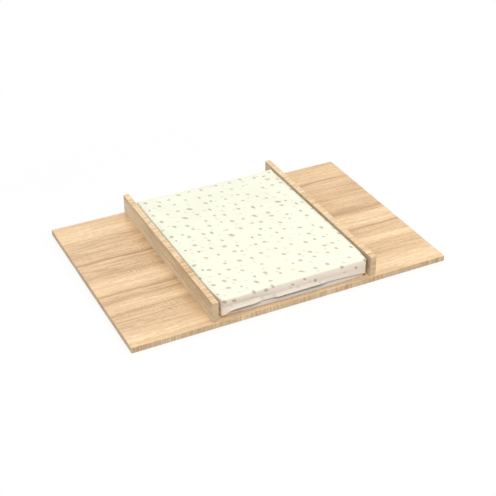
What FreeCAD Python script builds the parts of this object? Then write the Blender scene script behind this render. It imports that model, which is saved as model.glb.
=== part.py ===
import FreeCAD, Part
import math
import os

import Sketcher

Vector = FreeCAD.Vector

# Driving dimensions, in millimetres. X runs along the board, Y to the back and Z up,
# from the centre of the board's underside.
SIZES = {
    # laminated boards and their edge bands
    "board_width": 1080.0,
    "board_depth": 720.0,
    "board_thickness": 19.0,
    "band_thickness": 1.0,
    "band_bevel": 0.4,
    "cheek_thickness": 19.0,
    "cheek_height": 70.0,
    "cheek_end_setback": 4.0,
    # countersunk screws driven up through the board into the cheeks
    "screw_end_offset": 60.0,
    "screw_length": 50.0,
    "screw_shank_radius": 3.5,
    "screw_core_radius": 2.5,
    "screw_pitch": 3.0,
    "screw_head_radius": 5.0,
    "screw_head_rim": 0.6,
    "screw_recess": 0.5,
    "screw_socket_width": 4.0,
    "screw_socket_depth": 2.4,
    "screw_clearance": 0.1,
    "screw_end_clearance": 1.5,
    # dowels that place the cheeks on the board
    "dowel_radius": 4.0,
    "dowel_length": 35.0,
    "dowel_board_depth": 12.0,
    "dowel_bevel": 1.0,
    "dowel_clearance": 0.1,
    "dowel_end_clearance": 0.5,
    # pilot holes in the underside, for fixing the top to a chest
    "pilot_inset_x": 110.0,
    "pilot_inset_y": 170.0,
    "pilot_radius": 2.0,
    "pilot_depth": 13.0,
    # mat between the cheeks
    "mat_width": 520.0,
    "mat_depth": 652.0,
    "mat_height": 61.0,
    "mat_side_gap": 2.0,
    "mat_front_setback": 18.0,
    "mat_seat_clearance": 0.3,
    "mat_corner_radius": 16.0,
    "mat_top_radius": 7.0,
    "mat_bottom_radius": 4.0,
    "mat_side_draw": 2.0,
    "mat_crown": 2.5,
    "mat_crown_flat": 70.0,
    # the mat's layers, from the outside in
    "cover_thickness": 1.2,
    "hem_low": 3.0,
    "hem_rise": 14.0,
    "hem_margin": 2.0,
    "elastic_width": 6.0,
    "elastic_thickness": 0.8,
    "panel_thickness": 0.8,
    "panel_wall_height": 34.0,
    "layer_clearance": 0.2,
}

SCREWS_PER_CHEEK = 4
DOWELS_PER_CHEEK = SCREWS_PER_CHEEK - 1
ROUND_STEPS = 3
CROWN_STEPS = 3
SIDES = {"left": -1, "right": 1}

SHEET = "Dimensions"
doc = FreeCAD.newDocument("changing_top")
sheet = doc.addObject("Spreadsheet::Sheet", SHEET)
for row, (alias, value) in enumerate(SIZES.items(), start=1):
    sheet.set(f"A{row}", alias.replace("_", " "))
    sheet.set(f"B{row}", str(value))
    sheet.setAlias(f"B{row}", alias)
doc.recompute()


def size(alias):
    """Value of one driving dimension, read back from the sheet."""
    return float(sheet.get(alias))


def formula(text):
    """Expression over the sheet: each dimension named in the text gets the sheet's name in front."""
    return " ".join(f"{SHEET}.{word}" if word in SIZES else word for word in text.split())


# Lengths that follow from the driving dimensions
BAY_WIDTH = "( mat_width + 2 * mat_side_gap )"
CHEEK_LENGTH = "( board_depth - 2 * cheek_end_setback )"
CHEEK_FRONT = "( cheek_end_setback - board_depth / 2 )"
CHEEK_CENTRE = f"( {BAY_WIDTH} / 2 + cheek_thickness / 2 )"
CHEEK_CORE_HEIGHT = "( cheek_height - band_thickness )"
CORE_LEFT = "( band_thickness - board_width / 2 )"
CORE_FRONT = "( band_thickness - board_depth / 2 )"
SCREW_SPAN = f"( {CHEEK_LENGTH} - 2 * screw_end_offset )"
SCREW_STEP = f"( {SCREW_SPAN} / {SCREWS_PER_CHEEK - 1} )"
SCREW_TIP = "( screw_recess + screw_length )"
DOWEL_FIRST = f"( screw_end_offset + {SCREW_STEP} / 2 )"
DOWEL_CHEEK_DEPTH = "( dowel_length - dowel_board_depth )"


# Sketch and feature helpers


def new_body(label, x="0", y="0", z="0"):
    """Body whose own origin lies at the given place of the part."""
    body = doc.addObject("PartDesign::Body", label)
    body.Label = label
    for axis, text in (("x", x), ("y", y), ("z", z)):
        body.setExpression(f"Placement.Base.{axis}", formula(text))
    return body


def origin_feature(body, role):
    """One of the body's own origin planes or axes, found by its role."""
    return next(feature for feature in body.Origin.OriginFeatures if feature.Role == role)


def new_sketch(body, name, plane="XY_Plane", height="0"):
    """Sketch on one of the body's origin planes, lifted off it by a height."""
    sketch = body.newObject("Sketcher::SketchObject", name)
    sketch.AttachmentSupport = [(origin_feature(body, plane), "")]
    sketch.MapMode = "FlatFace"
    sketch.setExpression("AttachmentOffset.Base.z", formula(height))
    return sketch


def dimension(sketch, name, text, *constraint):
    """Dimension of a sketch, bound to an expression over the sheet."""
    index = sketch.addConstraint(Sketcher.Constraint(*constraint))
    sketch.renameConstraint(index, name)
    sketch.setExpression(f"Constraints.{name}", formula(text))


def draw_loop(sketch, points):
    """Closed run of straight lines through rough points, with joined ends."""
    count = len(points)
    for i, (x, y) in enumerate(points):
        following = points[(i + 1) % count]
        sketch.addGeometry(Part.LineSegment(Vector(x, y, 0), Vector(*following, 0)), False)
    for i in range(count):
        sketch.addConstraint(Sketcher.Constraint("Coincident", i, 2, (i + 1) % count, 1))


def draw_rectangle(sketch, width, depth):
    """Rectangle with one corner on the sketch's origin."""
    draw_loop(sketch, [(0, 0), (1, 0), (1, 1), (0, 1)])
    for i, run in enumerate(("Horizontal", "Vertical", "Horizontal", "Vertical")):
        sketch.addConstraint(Sketcher.Constraint(run, i))
    sketch.addConstraint(Sketcher.Constraint("Coincident", 0, 1, -1, 1))
    dimension(sketch, "width", width, "DistanceX", 0, 1, 0, 2, 1.0)
    dimension(sketch, "depth", depth, "DistanceY", 1, 1, 1, 2, 1.0)


def draw_circles(sketch, centres, radius):
    """Equal circles, each placed by its distances from the sketch's origin."""
    for i, (x, y) in enumerate(centres):
        rough = Vector(20.0 * (i + 1), 20.0 * (i + 1), 0)
        circle = sketch.addGeometry(Part.Circle(rough, Vector(0, 0, 1), 1.0), False)
        dimension(sketch, f"x{i}", x, "DistanceX", -1, 1, circle, 3, rough.x)
        dimension(sketch, f"y{i}", y, "DistanceY", -1, 1, circle, 3, rough.y)
        dimension(sketch, f"radius{i}", radius, "Radius", circle, 1.0)


def draw_profile(sketch, points):
    """Closed half section beside the upright axis, each corner at a radius and a height.

    A radius of None leaves the corner on the axis.
    """
    rough = [(0.0 if radius is None else 1.0 + i, 2.0 * i) for i, (radius, _) in enumerate(points)]
    draw_loop(sketch, rough)
    for i, (radius, height) in enumerate(points):
        dimension(sketch, f"height{i}", height, "DistanceY", -1, 1, i, 1, rough[i][1])
        if radius is None:
            sketch.addConstraint(Sketcher.Constraint("PointOnObject", i, 1, -2))
        else:
            dimension(sketch, f"radius{i}", radius, "DistanceX", -1, 1, i, 1, rough[i][0])


def pad(body, sketch, length):
    """Solid raised from a sketch along its normal."""
    feature = body.newObject("PartDesign::Pad", f"{sketch.Name}_pad")
    feature.Profile = sketch
    feature.setExpression("Length", formula(length))
    return feature


def revolve(body, sketch):
    """Solid turned from a half section about the sketch's upright axis."""
    feature = body.newObject("PartDesign::Revolution", f"{sketch.Name}_turned")
    feature.Profile = sketch
    feature.ReferenceAxis = (sketch, ["V_Axis"])
    feature.Angle = 360
    return feature


def pocket(body, sketch, depth, upward):
    """Blind cut from a sketch, upward or downward."""
    feature = body.newObject("PartDesign::Pocket", f"{sketch.Name}_cut")
    feature.Profile = sketch
    feature.Reversed = upward
    feature.setExpression("Length", formula(depth))
    return feature


def drill(body, name, centres, radius, depth, upward, height="0"):
    """Blind round holes, upward from a height or downward from it."""
    sketch = new_sketch(body, name, height=height)
    draw_circles(sketch, centres, radius)
    return pocket(body, sketch, depth, upward)


def repeat(body, originals, axis, span, count):
    """Row of copies along one of the body's axes; no originals means the whole body."""
    pattern = body.newObject("PartDesign::LinearPattern", f"{body.Name}_row_{axis}")
    if originals:
        pattern.Originals = originals
    else:
        pattern.TransformMode = "Whole shape"
    pattern.Direction = (origin_feature(body, f"{axis}_Axis"), [""])
    pattern.setExpression("Length", formula(span))
    pattern.Occurrences = count
    body.Tip = pattern
    doc.recompute()
    return pattern


# Boards and edge bands


def panel(label, spans, place):
    """Plain board or strip: its three spans, and the place of its lowest corner."""
    body = new_body(label, *place)
    outline = new_sketch(body, f"{label}_outline")
    draw_rectangle(outline, spans[0], spans[1])
    pad(body, outline, spans[2])
    doc.recompute()
    return body


def edge_band(label, spans, place, outward):
    """Edge band whose outer face, on the side that outward points to, has its long edges bevelled."""
    body = panel(label, spans, place)
    strip = body.Tip
    solid = strip.Shape
    longest = max(edge.Length for edge in solid.Edges)
    reach = max(vertex.Point.dot(outward) for vertex in solid.Vertexes)
    outer = []
    for i, edge in enumerate(solid.Edges, start=1):
        on_outer_face = math.isclose(edge.CenterOfMass.dot(outward), reach, abs_tol=1e-6)
        if on_outer_face and math.isclose(edge.Length, longest):
            outer.append(f"Edge{i}")
    bevel = body.newObject("PartDesign::Chamfer", f"{label}_bevel")
    bevel.Base = (strip, outer)
    bevel.setExpression("Size", formula("band_bevel"))
    body.Tip = bevel
    doc.recompute()
    return body


def screw_rows(offset):
    """Places of the screws along a cheek, counted from an offset."""
    return [f"{offset} + screw_end_offset + {i} * {SCREW_STEP}" for i in range(SCREWS_PER_CHEEK)]


def dowel_rows(offset):
    """Places of the dowels along a cheek, midway between the screws, counted from an offset."""
    return [f"{offset} + {DOWEL_FIRST} + {i} * {SCREW_STEP}" for i in range(DOWELS_PER_CHEEK)]


def make_base_board():
    """Core of the base board, with its screw, dowel and pilot holes."""
    width = "board_width - 2 * band_thickness"
    depth = "board_depth - 2 * band_thickness"
    board = panel("base_board", (width, depth, "board_thickness"), (CORE_LEFT, CORE_FRONT, "0"))
    lines = [f"{sign} * {CHEEK_CENTRE} - {CORE_LEFT}" for sign in SIDES.values()]
    cheek_start = f"( {CHEEK_FRONT} - {CORE_FRONT} )"

    centres = new_sketch(board, "screw_holes")
    draw_circles(centres, [(x, y) for x in lines for y in screw_rows(cheek_start)], "screw_shank_radius")
    doc.recompute()
    holes = board.newObject("PartDesign::Hole", "countersunk_holes")
    holes.Profile = centres
    holes.Reversed = True
    holes.DepthType = "ThroughAll"
    holes.DrillPoint = "Flat"
    holes.HoleCutType = "Countersink"
    holes.HoleCutCustomValues = True
    holes.HoleCutCountersinkAngle = 90
    holes.setExpression("Diameter", formula("2 * ( screw_shank_radius + screw_clearance )"))
    mouth = "2 * ( screw_head_radius + screw_clearance + screw_recess + screw_head_rim )"
    holes.setExpression("HoleCutDiameter", formula(mouth))
    doc.recompute()

    drill(
        board,
        "dowel_holes",
        [(x, y) for x in lines for y in dowel_rows(cheek_start)],
        "dowel_radius + dowel_clearance",
        "dowel_board_depth + dowel_end_clearance",
        upward=False,
        height="board_thickness",
    )
    pilot_x = [f"{sign} * ( board_width / 2 - pilot_inset_x ) - {CORE_LEFT}" for sign in (-1, 1)]
    pilot_y = [f"{sign} * ( board_depth / 2 - pilot_inset_y ) - {CORE_FRONT}" for sign in (-1, 1)]
    pilots = [(x, y) for x in pilot_x for y in pilot_y]
    drill(board, "pilot_holes", pilots, "pilot_radius", "pilot_depth", upward=True)
    doc.recompute()
    return board


def make_base_bands():
    """Edge bands of the base board: the left and right ones lie between the front and back ones."""
    long_spans = ("board_width", "band_thickness", "board_thickness")
    short_spans = ("band_thickness", "board_depth - 2 * band_thickness", "board_thickness")
    left, front = "0 - board_width / 2", "0 - board_depth / 2"
    back = "board_depth / 2 - band_thickness"
    right = "board_width / 2 - band_thickness"
    bands = {
        "front": (long_spans, (left, front, "0"), Vector(0, -1, 0)),
        "back": (long_spans, (left, back, "0"), Vector(0, 1, 0)),
        "left": (short_spans, (left, CORE_FRONT, "0"), Vector(-1, 0, 0)),
        "right": (short_spans, (right, CORE_FRONT, "0"), Vector(1, 0, 0)),
    }
    return [edge_band(f"base_{edge}_edge_band", *layout) for edge, layout in bands.items()]


def make_cheek(side):
    """One cheek: its core, drilled from below, and its top, front and back edge bands."""
    name = f"{side}_cheek"
    outer_x = f"{SIDES[side]} * {CHEEK_CENTRE} - cheek_thickness / 2"
    core_y = f"{CHEEK_FRONT} + band_thickness"
    back_y = f"0 - {CHEEK_FRONT} - band_thickness"
    core_spans = ("cheek_thickness", f"{CHEEK_LENGTH} - 2 * band_thickness", CHEEK_CORE_HEIGHT)
    core = panel(f"{name}_board", core_spans, (outer_x, core_y, "board_thickness"))
    middle = "cheek_thickness / 2"
    start = "0 - band_thickness"
    drill(
        core,
        f"{name}_screw_holes",
        [(middle, y) for y in screw_rows(start)],
        "screw_shank_radius + screw_clearance",
        f"{SCREW_TIP} - board_thickness + screw_end_clearance",
        upward=True,
    )
    drill(
        core,
        f"{name}_dowel_holes",
        [(middle, y) for y in dowel_rows(start)],
        "dowel_radius + dowel_clearance",
        f"{DOWEL_CHEEK_DEPTH} + dowel_end_clearance",
        upward=True,
    )
    end_spans = ("cheek_thickness", "band_thickness", CHEEK_CORE_HEIGHT)
    top_spans = ("cheek_thickness", CHEEK_LENGTH, "band_thickness")
    top_z = f"board_thickness + {CHEEK_CORE_HEIGHT}"
    bands = {
        "front": (end_spans, (outer_x, CHEEK_FRONT, "board_thickness"), Vector(0, -1, 0)),
        "back": (end_spans, (outer_x, back_y, "board_thickness"), Vector(0, 1, 0)),
        "top": (top_spans, (outer_x, CHEEK_FRONT, top_z), Vector(0, 0, 1)),
    }
    return [core] + [edge_band(f"{name}_{edge}_edge_band", *layout) for edge, layout in bands.items()]


# Screws and dowels


def make_screws(side):
    """Row of countersunk screws with a hexagon socket, heads just inside the board's underside."""
    label = f"{side}_cheek_screws"
    body = new_body(label, f"{SIDES[side]} * {CHEEK_CENTRE}", f"{CHEEK_FRONT} + screw_end_offset")
    body.AllowCompound = True
    cone = "( screw_head_radius - screw_shank_radius )"
    neck = "( screw_shank_radius - screw_core_radius )"
    profile = new_sketch(body, f"{label}_section", "XZ_Plane")
    draw_profile(
        profile,
        [
            (None, "screw_recess"),
            ("screw_head_radius", "screw_recess"),
            ("screw_head_radius", "screw_recess + screw_head_rim"),
            ("screw_shank_radius", f"screw_recess + screw_head_rim + {cone}"),
            ("screw_shank_radius", "board_thickness"),
            ("screw_core_radius", f"board_thickness + {neck}"),
            ("screw_core_radius", f"{SCREW_TIP} - screw_core_radius"),
            (None, SCREW_TIP),
        ],
    )
    revolve(body, profile)
    doc.recompute()

    ridge = new_sketch(body, f"{label}_ridge", "XZ_Plane")
    foot = f"( board_thickness + {neck} + screw_pitch / 2 )"
    draw_profile(
        ridge,
        [
            ("screw_core_radius / 2", foot),
            ("screw_shank_radius", f"{foot} + screw_pitch / 3"),
            ("screw_core_radius / 2", f"{foot} + 2 * screw_pitch / 3"),
        ],
    )
    turned = revolve(body, ridge)
    doc.recompute()
    threaded = size("screw_recess") + size("screw_length") - size("board_thickness")
    threaded -= size("screw_shank_radius") + size("screw_pitch")
    ridges = int(threaded / size("screw_pitch"))
    repeat(body, [turned], "Z", f"{ridges - 1} * screw_pitch", ridges)

    socket = new_sketch(body, f"{label}_socket", height="screw_recess")
    corners = [(math.cos(math.radians(60 * i)), math.sin(math.radians(60 * i))) for i in range(6)]
    draw_loop(socket, corners)
    rim = socket.addGeometry(Part.Circle(Vector(0, 0, 0), Vector(0, 0, 1), 1.0), True)
    socket.addConstraint(Sketcher.Constraint("Coincident", rim, 3, -1, 1))
    for i in range(6):
        socket.addConstraint(Sketcher.Constraint("PointOnObject", i, 1, rim))
    for i in range(5):
        socket.addConstraint(Sketcher.Constraint("Equal", i, i + 1))
    socket.addConstraint(Sketcher.Constraint("PointOnObject", 0, 1, -1))
    dimension(socket, "rim_radius", "screw_socket_width / 2 / cos( 30 deg )", "Radius", rim, 1.0)
    pocket(body, socket, "screw_socket_depth", upward=True)
    doc.recompute()
    repeat(body, [], "Y", SCREW_SPAN, SCREWS_PER_CHEEK)
    return body


def make_dowels(side):
    """Row of bevelled dowels, half in the board and half in the cheek."""
    label = f"{side}_cheek_dowels"
    body = new_body(
        label,
        f"{SIDES[side]} * {CHEEK_CENTRE}",
        f"{CHEEK_FRONT} + {DOWEL_FIRST}",
        "board_thickness - dowel_board_depth",
    )
    body.AllowCompound = True
    profile = new_sketch(body, f"{label}_section", "XZ_Plane")
    draw_profile(
        profile,
        [
            (None, "0"),
            ("dowel_radius - dowel_bevel", "0"),
            ("dowel_radius", "dowel_bevel"),
            ("dowel_radius", "dowel_length - dowel_bevel"),
            ("dowel_radius - dowel_bevel", "dowel_length"),
            (None, "dowel_length"),
        ],
    )
    revolve(body, profile)
    doc.recompute()
    repeat(body, [], "Y", f"{DOWELS_PER_CHEEK - 1} * {SCREW_STEP}", DOWELS_PER_CHEEK)
    return body


# Mat


def mat_outline(inset, height):
    """Outline of the mat at one height: four sides drawn in at their middles, and round corners."""
    half_x = size("mat_width") / 2 - inset
    half_y = size("mat_depth") / 2 - inset
    radius = size("mat_corner_radius")
    draw = size("mat_side_draw")
    bulge = radius * (1 - math.cos(math.radians(45)))
    edges = []
    for quarter in range(4):
        along, across = (half_y, half_x) if quarter % 2 == 0 else (half_x, half_y)
        turn = FreeCAD.Rotation(Vector(0, 0, 1), 90 * quarter)
        side = [(across, radius - along), (across - draw, 0), (across, along - radius)]
        corner = [(across, along - radius), (across - bulge, along - bulge), (across - radius, along)]
        for arc in (side, corner):
            edges.append(Part.Arc(*[turn.multVec(Vector(x, y, height)) for x, y in arc]).toShape())
    return Part.Wire(edges)


def mat_form(inset, bottom, top, bottom_radius=0.0, top_radius=0.0, crown=0.0):
    """Padded form through outlines at rising heights.

    The lower and upper edges are rounded, and the top swells by its crown towards a flat middle.
    """
    levels = []
    for i in range(ROUND_STEPS if bottom_radius else 0):
        angle = math.radians(90 * i / ROUND_STEPS)
        step = bottom_radius * (1 - math.sin(angle))
        levels.append((step, bottom + bottom_radius * (1 - math.cos(angle))))
    levels.append((0.0, bottom + bottom_radius))
    levels.append((0.0, top - top_radius))
    for i in range(ROUND_STEPS if top_radius else 0):
        angle = math.radians(90 * (i + 1) / ROUND_STEPS)
        step = top_radius * (1 - math.cos(angle))
        levels.append((step, top - top_radius * (1 - math.sin(angle))))
    reach = size("mat_width") / 2 - size("mat_crown_flat") - inset - top_radius
    for i in range(CROWN_STEPS if crown else 0):
        share = (i + 1) / CROWN_STEPS
        levels.append((top_radius + reach * share, top + crown * (1 - (1 - share) ** 2)))
    return Part.makeLoft([mat_outline(inset + step, height) for step, height in levels], True, True)


def below_hem(lift):
    """Space below the hem line, lifted: level all round, and rising in one arc along the front wall."""
    half_x = size("mat_width") / 2
    half_y = size("mat_depth") / 2
    margin = size("mat_bottom_radius") + size("mat_side_draw")
    floor = -margin
    low = size("hem_low") + lift
    high = size("hem_rise") + lift
    reach = half_x - size("mat_corner_radius")
    start = -half_y - margin
    ends = [Vector(-reach, start, low), Vector(0, start, high), Vector(reach, start, low)]
    arch = Part.Arc(*ends).toShape()
    feet = [Vector(reach, start, floor), Vector(-reach, start, floor)]
    sill = Part.makePolygon([ends[2], *feet, ends[0]])
    front = Part.Face(Part.Wire([arch] + sill.Edges))
    front_depth = margin + size("mat_corner_radius")
    raised = front.extrude(Vector(0, front_depth, 0))
    level = Part.makeBox(
        2 * (half_x + margin), 2 * (half_y + margin), low - floor, Vector(-half_x - margin, start, floor)
    )
    return level.fuse(raised).removeSplitter()


def mat_piece(label, shape):
    """Layer of the mat, set in place between the cheeks."""
    piece = doc.addObject("Part::Feature", label)
    piece.Label = label
    piece.Shape = shape
    middle = size("mat_front_setback") + (size("mat_depth") - size("board_depth")) / 2
    piece.Placement.Base = Vector(0, middle, size("board_thickness") + size("mat_seat_clearance"))
    return piece


def make_mat():
    """Layers of the mat: printed cover, elastic in its hem, plain base panel and foam core."""
    clear = size("layer_clearance")
    height = size("mat_height")
    crown = size("mat_crown")
    top_radius = size("mat_top_radius")
    bottom_radius = size("mat_bottom_radius")
    cover_wall = size("cover_thickness")
    elastic_out = cover_wall + clear
    elastic_in = elastic_out + size("elastic_thickness")
    panel_out = elastic_in + clear
    panel_in = panel_out + size("panel_thickness")
    foam_out = panel_in + clear
    open_end = size("mat_height")

    outside = mat_form(0.0, 0.0, height, top_radius=top_radius, crown=crown)
    inside = mat_form(
        cover_wall, -open_end, height - cover_wall, top_radius=top_radius - cover_wall, crown=crown
    )
    cover = outside.cut(inside).cut(below_hem(0.0))

    ring = mat_form(elastic_out, 0.0, height / 2).cut(mat_form(elastic_in, -open_end, height))
    elastic_foot = size("hem_margin")
    elastic_head = elastic_foot + size("elastic_width")
    elastic = ring.common(below_hem(elastic_head)).cut(below_hem(elastic_foot))

    panel_wall = size("panel_thickness")
    panel_box = mat_form(panel_out, 0.0, size("panel_wall_height"), bottom_radius=bottom_radius)
    panel_hollow = mat_form(panel_in, panel_wall, height, bottom_radius=bottom_radius - panel_wall)
    base_panel = panel_box.cut(panel_hollow)

    foam = mat_form(
        foam_out,
        panel_wall + clear,
        height - cover_wall - clear,
        bottom_radius=bottom_radius - panel_wall - clear,
        top_radius=top_radius - foam_out,
        crown=crown,
    )
    return [
        mat_piece("mat_cover", cover),
        mat_piece("mat_hem_elastic", elastic),
        mat_piece("mat_base_panel", base_panel),
        mat_piece("mat_foam_core", foam),
    ]


# The whole part

pieces = [make_base_board()]
pieces += make_base_bands()
for side in SIDES:
    pieces += make_cheek(side)
    pieces.append(make_screws(side))
    pieces.append(make_dowels(side))
pieces += make_mat()
doc.recompute()

for item in doc.Objects:
    if "Invalid" in item.State or "Error" in item.State:
        raise RuntimeError(f"{item.Label} did not build: {item.State}")
for piece in pieces:
    if piece.Shape.isNull() or not piece.Shape.isValid() or not piece.Shape.Solids:
        raise RuntimeError(f"{piece.Label} has no sound solid")

os.makedirs("parts", exist_ok=True)
for piece in pieces:
    piece.Shape.exportStep(f"parts/{piece.Label}.step")
    box = piece.Shape.BoundBox
    print(
        f"{piece.Label}: {len(piece.Shape.Solids)} solids, {piece.Shape.Volume:.1f} mm3, "
        f"{box.XLength:.2f} x {box.YLength:.2f} x {box.ZLength:.2f} mm, lowest {box.ZMin:.2f}"
    )
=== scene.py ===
"""Looks of a changing top: an oak-effect board, two upright cheeks and a padded mat between them.

Lengths are in metres in the part's own frame: X along the board, Y to the back, Z up from the
middle of the board's underside.
"""

import logging
import math
from collections.abc import Mapping, Sequence
from dataclasses import dataclass
from enum import Enum
from typing import Any

import bpy
import numpy as np
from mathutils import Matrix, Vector


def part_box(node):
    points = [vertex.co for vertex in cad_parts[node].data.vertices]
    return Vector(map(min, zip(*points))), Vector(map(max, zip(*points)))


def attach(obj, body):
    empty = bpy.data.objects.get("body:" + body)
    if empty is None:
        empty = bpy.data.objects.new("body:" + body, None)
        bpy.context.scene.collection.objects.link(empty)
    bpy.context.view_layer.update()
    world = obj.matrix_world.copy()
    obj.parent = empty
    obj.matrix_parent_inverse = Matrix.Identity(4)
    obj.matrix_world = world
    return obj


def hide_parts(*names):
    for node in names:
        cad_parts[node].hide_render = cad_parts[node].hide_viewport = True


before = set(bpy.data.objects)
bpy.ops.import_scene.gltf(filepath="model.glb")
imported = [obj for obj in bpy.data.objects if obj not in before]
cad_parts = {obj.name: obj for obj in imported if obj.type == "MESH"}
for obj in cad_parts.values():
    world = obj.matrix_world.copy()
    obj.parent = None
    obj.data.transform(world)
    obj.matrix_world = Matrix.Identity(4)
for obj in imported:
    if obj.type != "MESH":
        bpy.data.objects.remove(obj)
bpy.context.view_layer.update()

LOG = logging.getLogger("changing_top")

Colour = tuple[float, float, float, float]
Table = tuple[tuple[float, ...], ...]
Socket = bpy.types.NodeSocket
Feed = Socket | float | Sequence[float]


def srgb(red: int, green: int, blue: int) -> Colour:
    """Turns a colour as it looks on a screen into Blender's linear values.

    Args:
        red: Red, from 0 to 255.
        green: Green, from 0 to 255.
        blue: Blue, from 0 to 255.

    Returns:
        Linear red, green and blue, and full alpha.
    """
    shares = np.array([red, green, blue]) / 255.0
    linear = np.where(shares <= 0.04045, shares / 12.92, ((shares + 0.055) / 1.055) ** 2.4)
    return (*linear.tolist(), 1.0)


class Wiring:
    """Lays the nodes of one material or node group and links them."""

    def __init__(self, tree: bpy.types.NodeTree) -> None:
        """Starts on a node tree."""
        self.tree = tree

    def feed(self, socket: Socket, value: Feed) -> None:
        """Links a socket to another one, or sets its plain value.

        Args:
            socket: The input to fill.
            value: An output socket, or a plain value.
        """
        if isinstance(value, bpy.types.NodeSocket):
            self.tree.links.new(value, socket)
        else:
            socket.default_value = value

    def fill(self, node: bpy.types.Node, feeds: Mapping[str | int, Feed]) -> None:
        """Fills a node's inputs, by name or number."""
        for name, value in feeds.items():
            self.feed(node.inputs[name], value)

    def node(
        self, kind: str, feeds: Mapping[str | int, Feed] | None = None, **settings: Any
    ) -> bpy.types.Node:
        """Adds a node.

        Args:
            kind: Blender's name for the kind of node.
            feeds: What goes into its inputs, by name or number.
            **settings: The node's own settings.

        Returns:
            The new node.
        """
        made = self.tree.nodes.new(kind)
        for name, value in settings.items():
            setattr(made, name, value)
        self.fill(made, feeds or {})
        return made

    def math(self, operation: str, *terms: Feed) -> Socket:
        """One sum on plain values: the operation's name and its terms."""
        return self.node("ShaderNodeMath", dict(enumerate(terms)), operation=operation).outputs[0]

    def vector(self, operation: str, *terms: Feed) -> Socket:
        """One sum on vectors: the operation's name and its terms."""
        return self.node("ShaderNodeVectorMath", dict(enumerate(terms)), operation=operation).outputs[0]

    def length(self, vector: Feed) -> Socket:
        """How long a vector is."""
        return self.node("ShaderNodeVectorMath", {0: vector}, operation="LENGTH").outputs["Value"]

    def parts(self, vector: Feed) -> tuple[Socket, Socket, Socket]:
        """The three parts of a vector."""
        return tuple(self.node("ShaderNodeSeparateXYZ", {0: vector}).outputs)

    def join(self, first: Feed, second: Feed, third: Feed = 0.0) -> Socket:
        """A vector made of three parts."""
        return self.node("ShaderNodeCombineXYZ", {0: first, 1: second, 2: third}).outputs[0]

    def noise(
        self, place: Feed, pace: Sequence[float], detail: float = 2.0, roughness: float = 0.5
    ) -> Socket:
        """Soft noise.

        Args:
            place: Where the noise is read.
            pace: Waves for each metre, along each of the three axes.
            detail: How many finer layers it has.
            roughness: How strong the finer layers are.

        Returns:
            A value around a half.
        """
        feeds = {"Vector": self.vector("MULTIPLY", place, pace), "Scale": 1.0}
        feeds |= {"Detail": detail, "Roughness": roughness}
        return self.node("ShaderNodeTexNoise", feeds).outputs[0]

    def span(self, value: Feed, low: Feed, high: Feed, start: Feed = 0.0, end: Feed = 1.0) -> Socket:
        """Carries a value smoothly from one range to another.

        Args:
            value: What is carried over.
            low: The value that becomes start.
            high: The value that becomes end.
            start: First end of the new range.
            end: Second end of the new range.

        Returns:
            The value in its new range, held at its ends.
        """
        feeds = {"Value": value, "From Min": low, "From Max": high, "To Min": start, "To Max": end}
        return self.node("ShaderNodeMapRange", feeds, interpolation_type="SMOOTHSTEP").outputs[0]

    def tint(self, share: Feed, first: Feed, second: Feed) -> Socket:
        """A colour between two, nearer to the second as the share grows."""
        return self.node("ShaderNodeMix", {0: share, 6: first, 7: second}, data_type="RGBA").outputs[2]

    def bump(self, height: Socket, depth: float, strength: float) -> Socket:
        """A normal bent by a height.

        Args:
            height: The height, from 0 to 1.
            depth: What a height of 1 stands for, in metres.
            strength: Share of the bump that is kept.

        Returns:
            The bent normal.
        """
        feeds = {"Height": height, "Distance": depth, "Strength": strength}
        return self.node("ShaderNodeBump", feeds).outputs[0]


class Port(Enum):
    """Kinds of socket on a shader node group."""

    VALUE = "NodeSocketFloat"
    VECTOR = "NodeSocketVector"
    COLOUR = "NodeSocketColor"


class Effect:
    """A shader node group with named sockets, built once and placed in many materials."""

    def __init__(self, name: str, takes: Mapping[str, Port], gives: Mapping[str, Port]) -> None:
        """Opens an empty group.

        Args:
            name: The group's name.
            takes: Its inputs.
            gives: Its outputs.
        """
        self.tree = bpy.data.node_groups.new(name, "ShaderNodeTree")
        for label, kind in takes.items():
            self.tree.interface.new_socket(label, in_out="INPUT", socket_type=kind.value)
        for label, kind in gives.items():
            self.tree.interface.new_socket(label, in_out="OUTPUT", socket_type=kind.value)
        self.wiring = Wiring(self.tree)
        self.takes = self.wiring.node("NodeGroupInput").outputs
        self.gives = self.wiring.node("NodeGroupOutput").inputs

    def give(self, label: str, value: Socket) -> None:
        """Sends a value out of the group by the named output."""
        self.wiring.feed(self.gives[label], value)

    def place(self, wiring: Wiring, feeds: Mapping[str, Feed]) -> bpy.types.bpy_prop_collection:
        """Puts the group into a material: what goes in, and the outputs that come back."""
        return wiring.node("ShaderNodeGroup", feeds, node_tree=self.tree).outputs


class GrainWander(Effect):
    """Slow sideways wander of the grain lines."""

    def __init__(self) -> None:
        """Builds the group."""
        takes = {"Place": Port.VECTOR, "Reach": Port.VALUE}
        super().__init__("Grain wander", takes, {"Place": Port.VECTOR})
        wiring, place = self.wiring, self.takes["Place"]
        slow = wiring.noise(place, (1.5, 2.6, 2.6), detail=1.0)
        quick = wiring.noise(place, (6.0, 11.0, 11.0), detail=1.0)
        sway = wiring.math("MULTIPLY_ADD", quick, 0.3, slow)
        shift = wiring.math("MULTIPLY", wiring.math("SUBTRACT", sway, 0.65), self.takes["Reach"])
        self.give("Place", wiring.vector("ADD", place, wiring.join(0.0, shift)))


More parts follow.
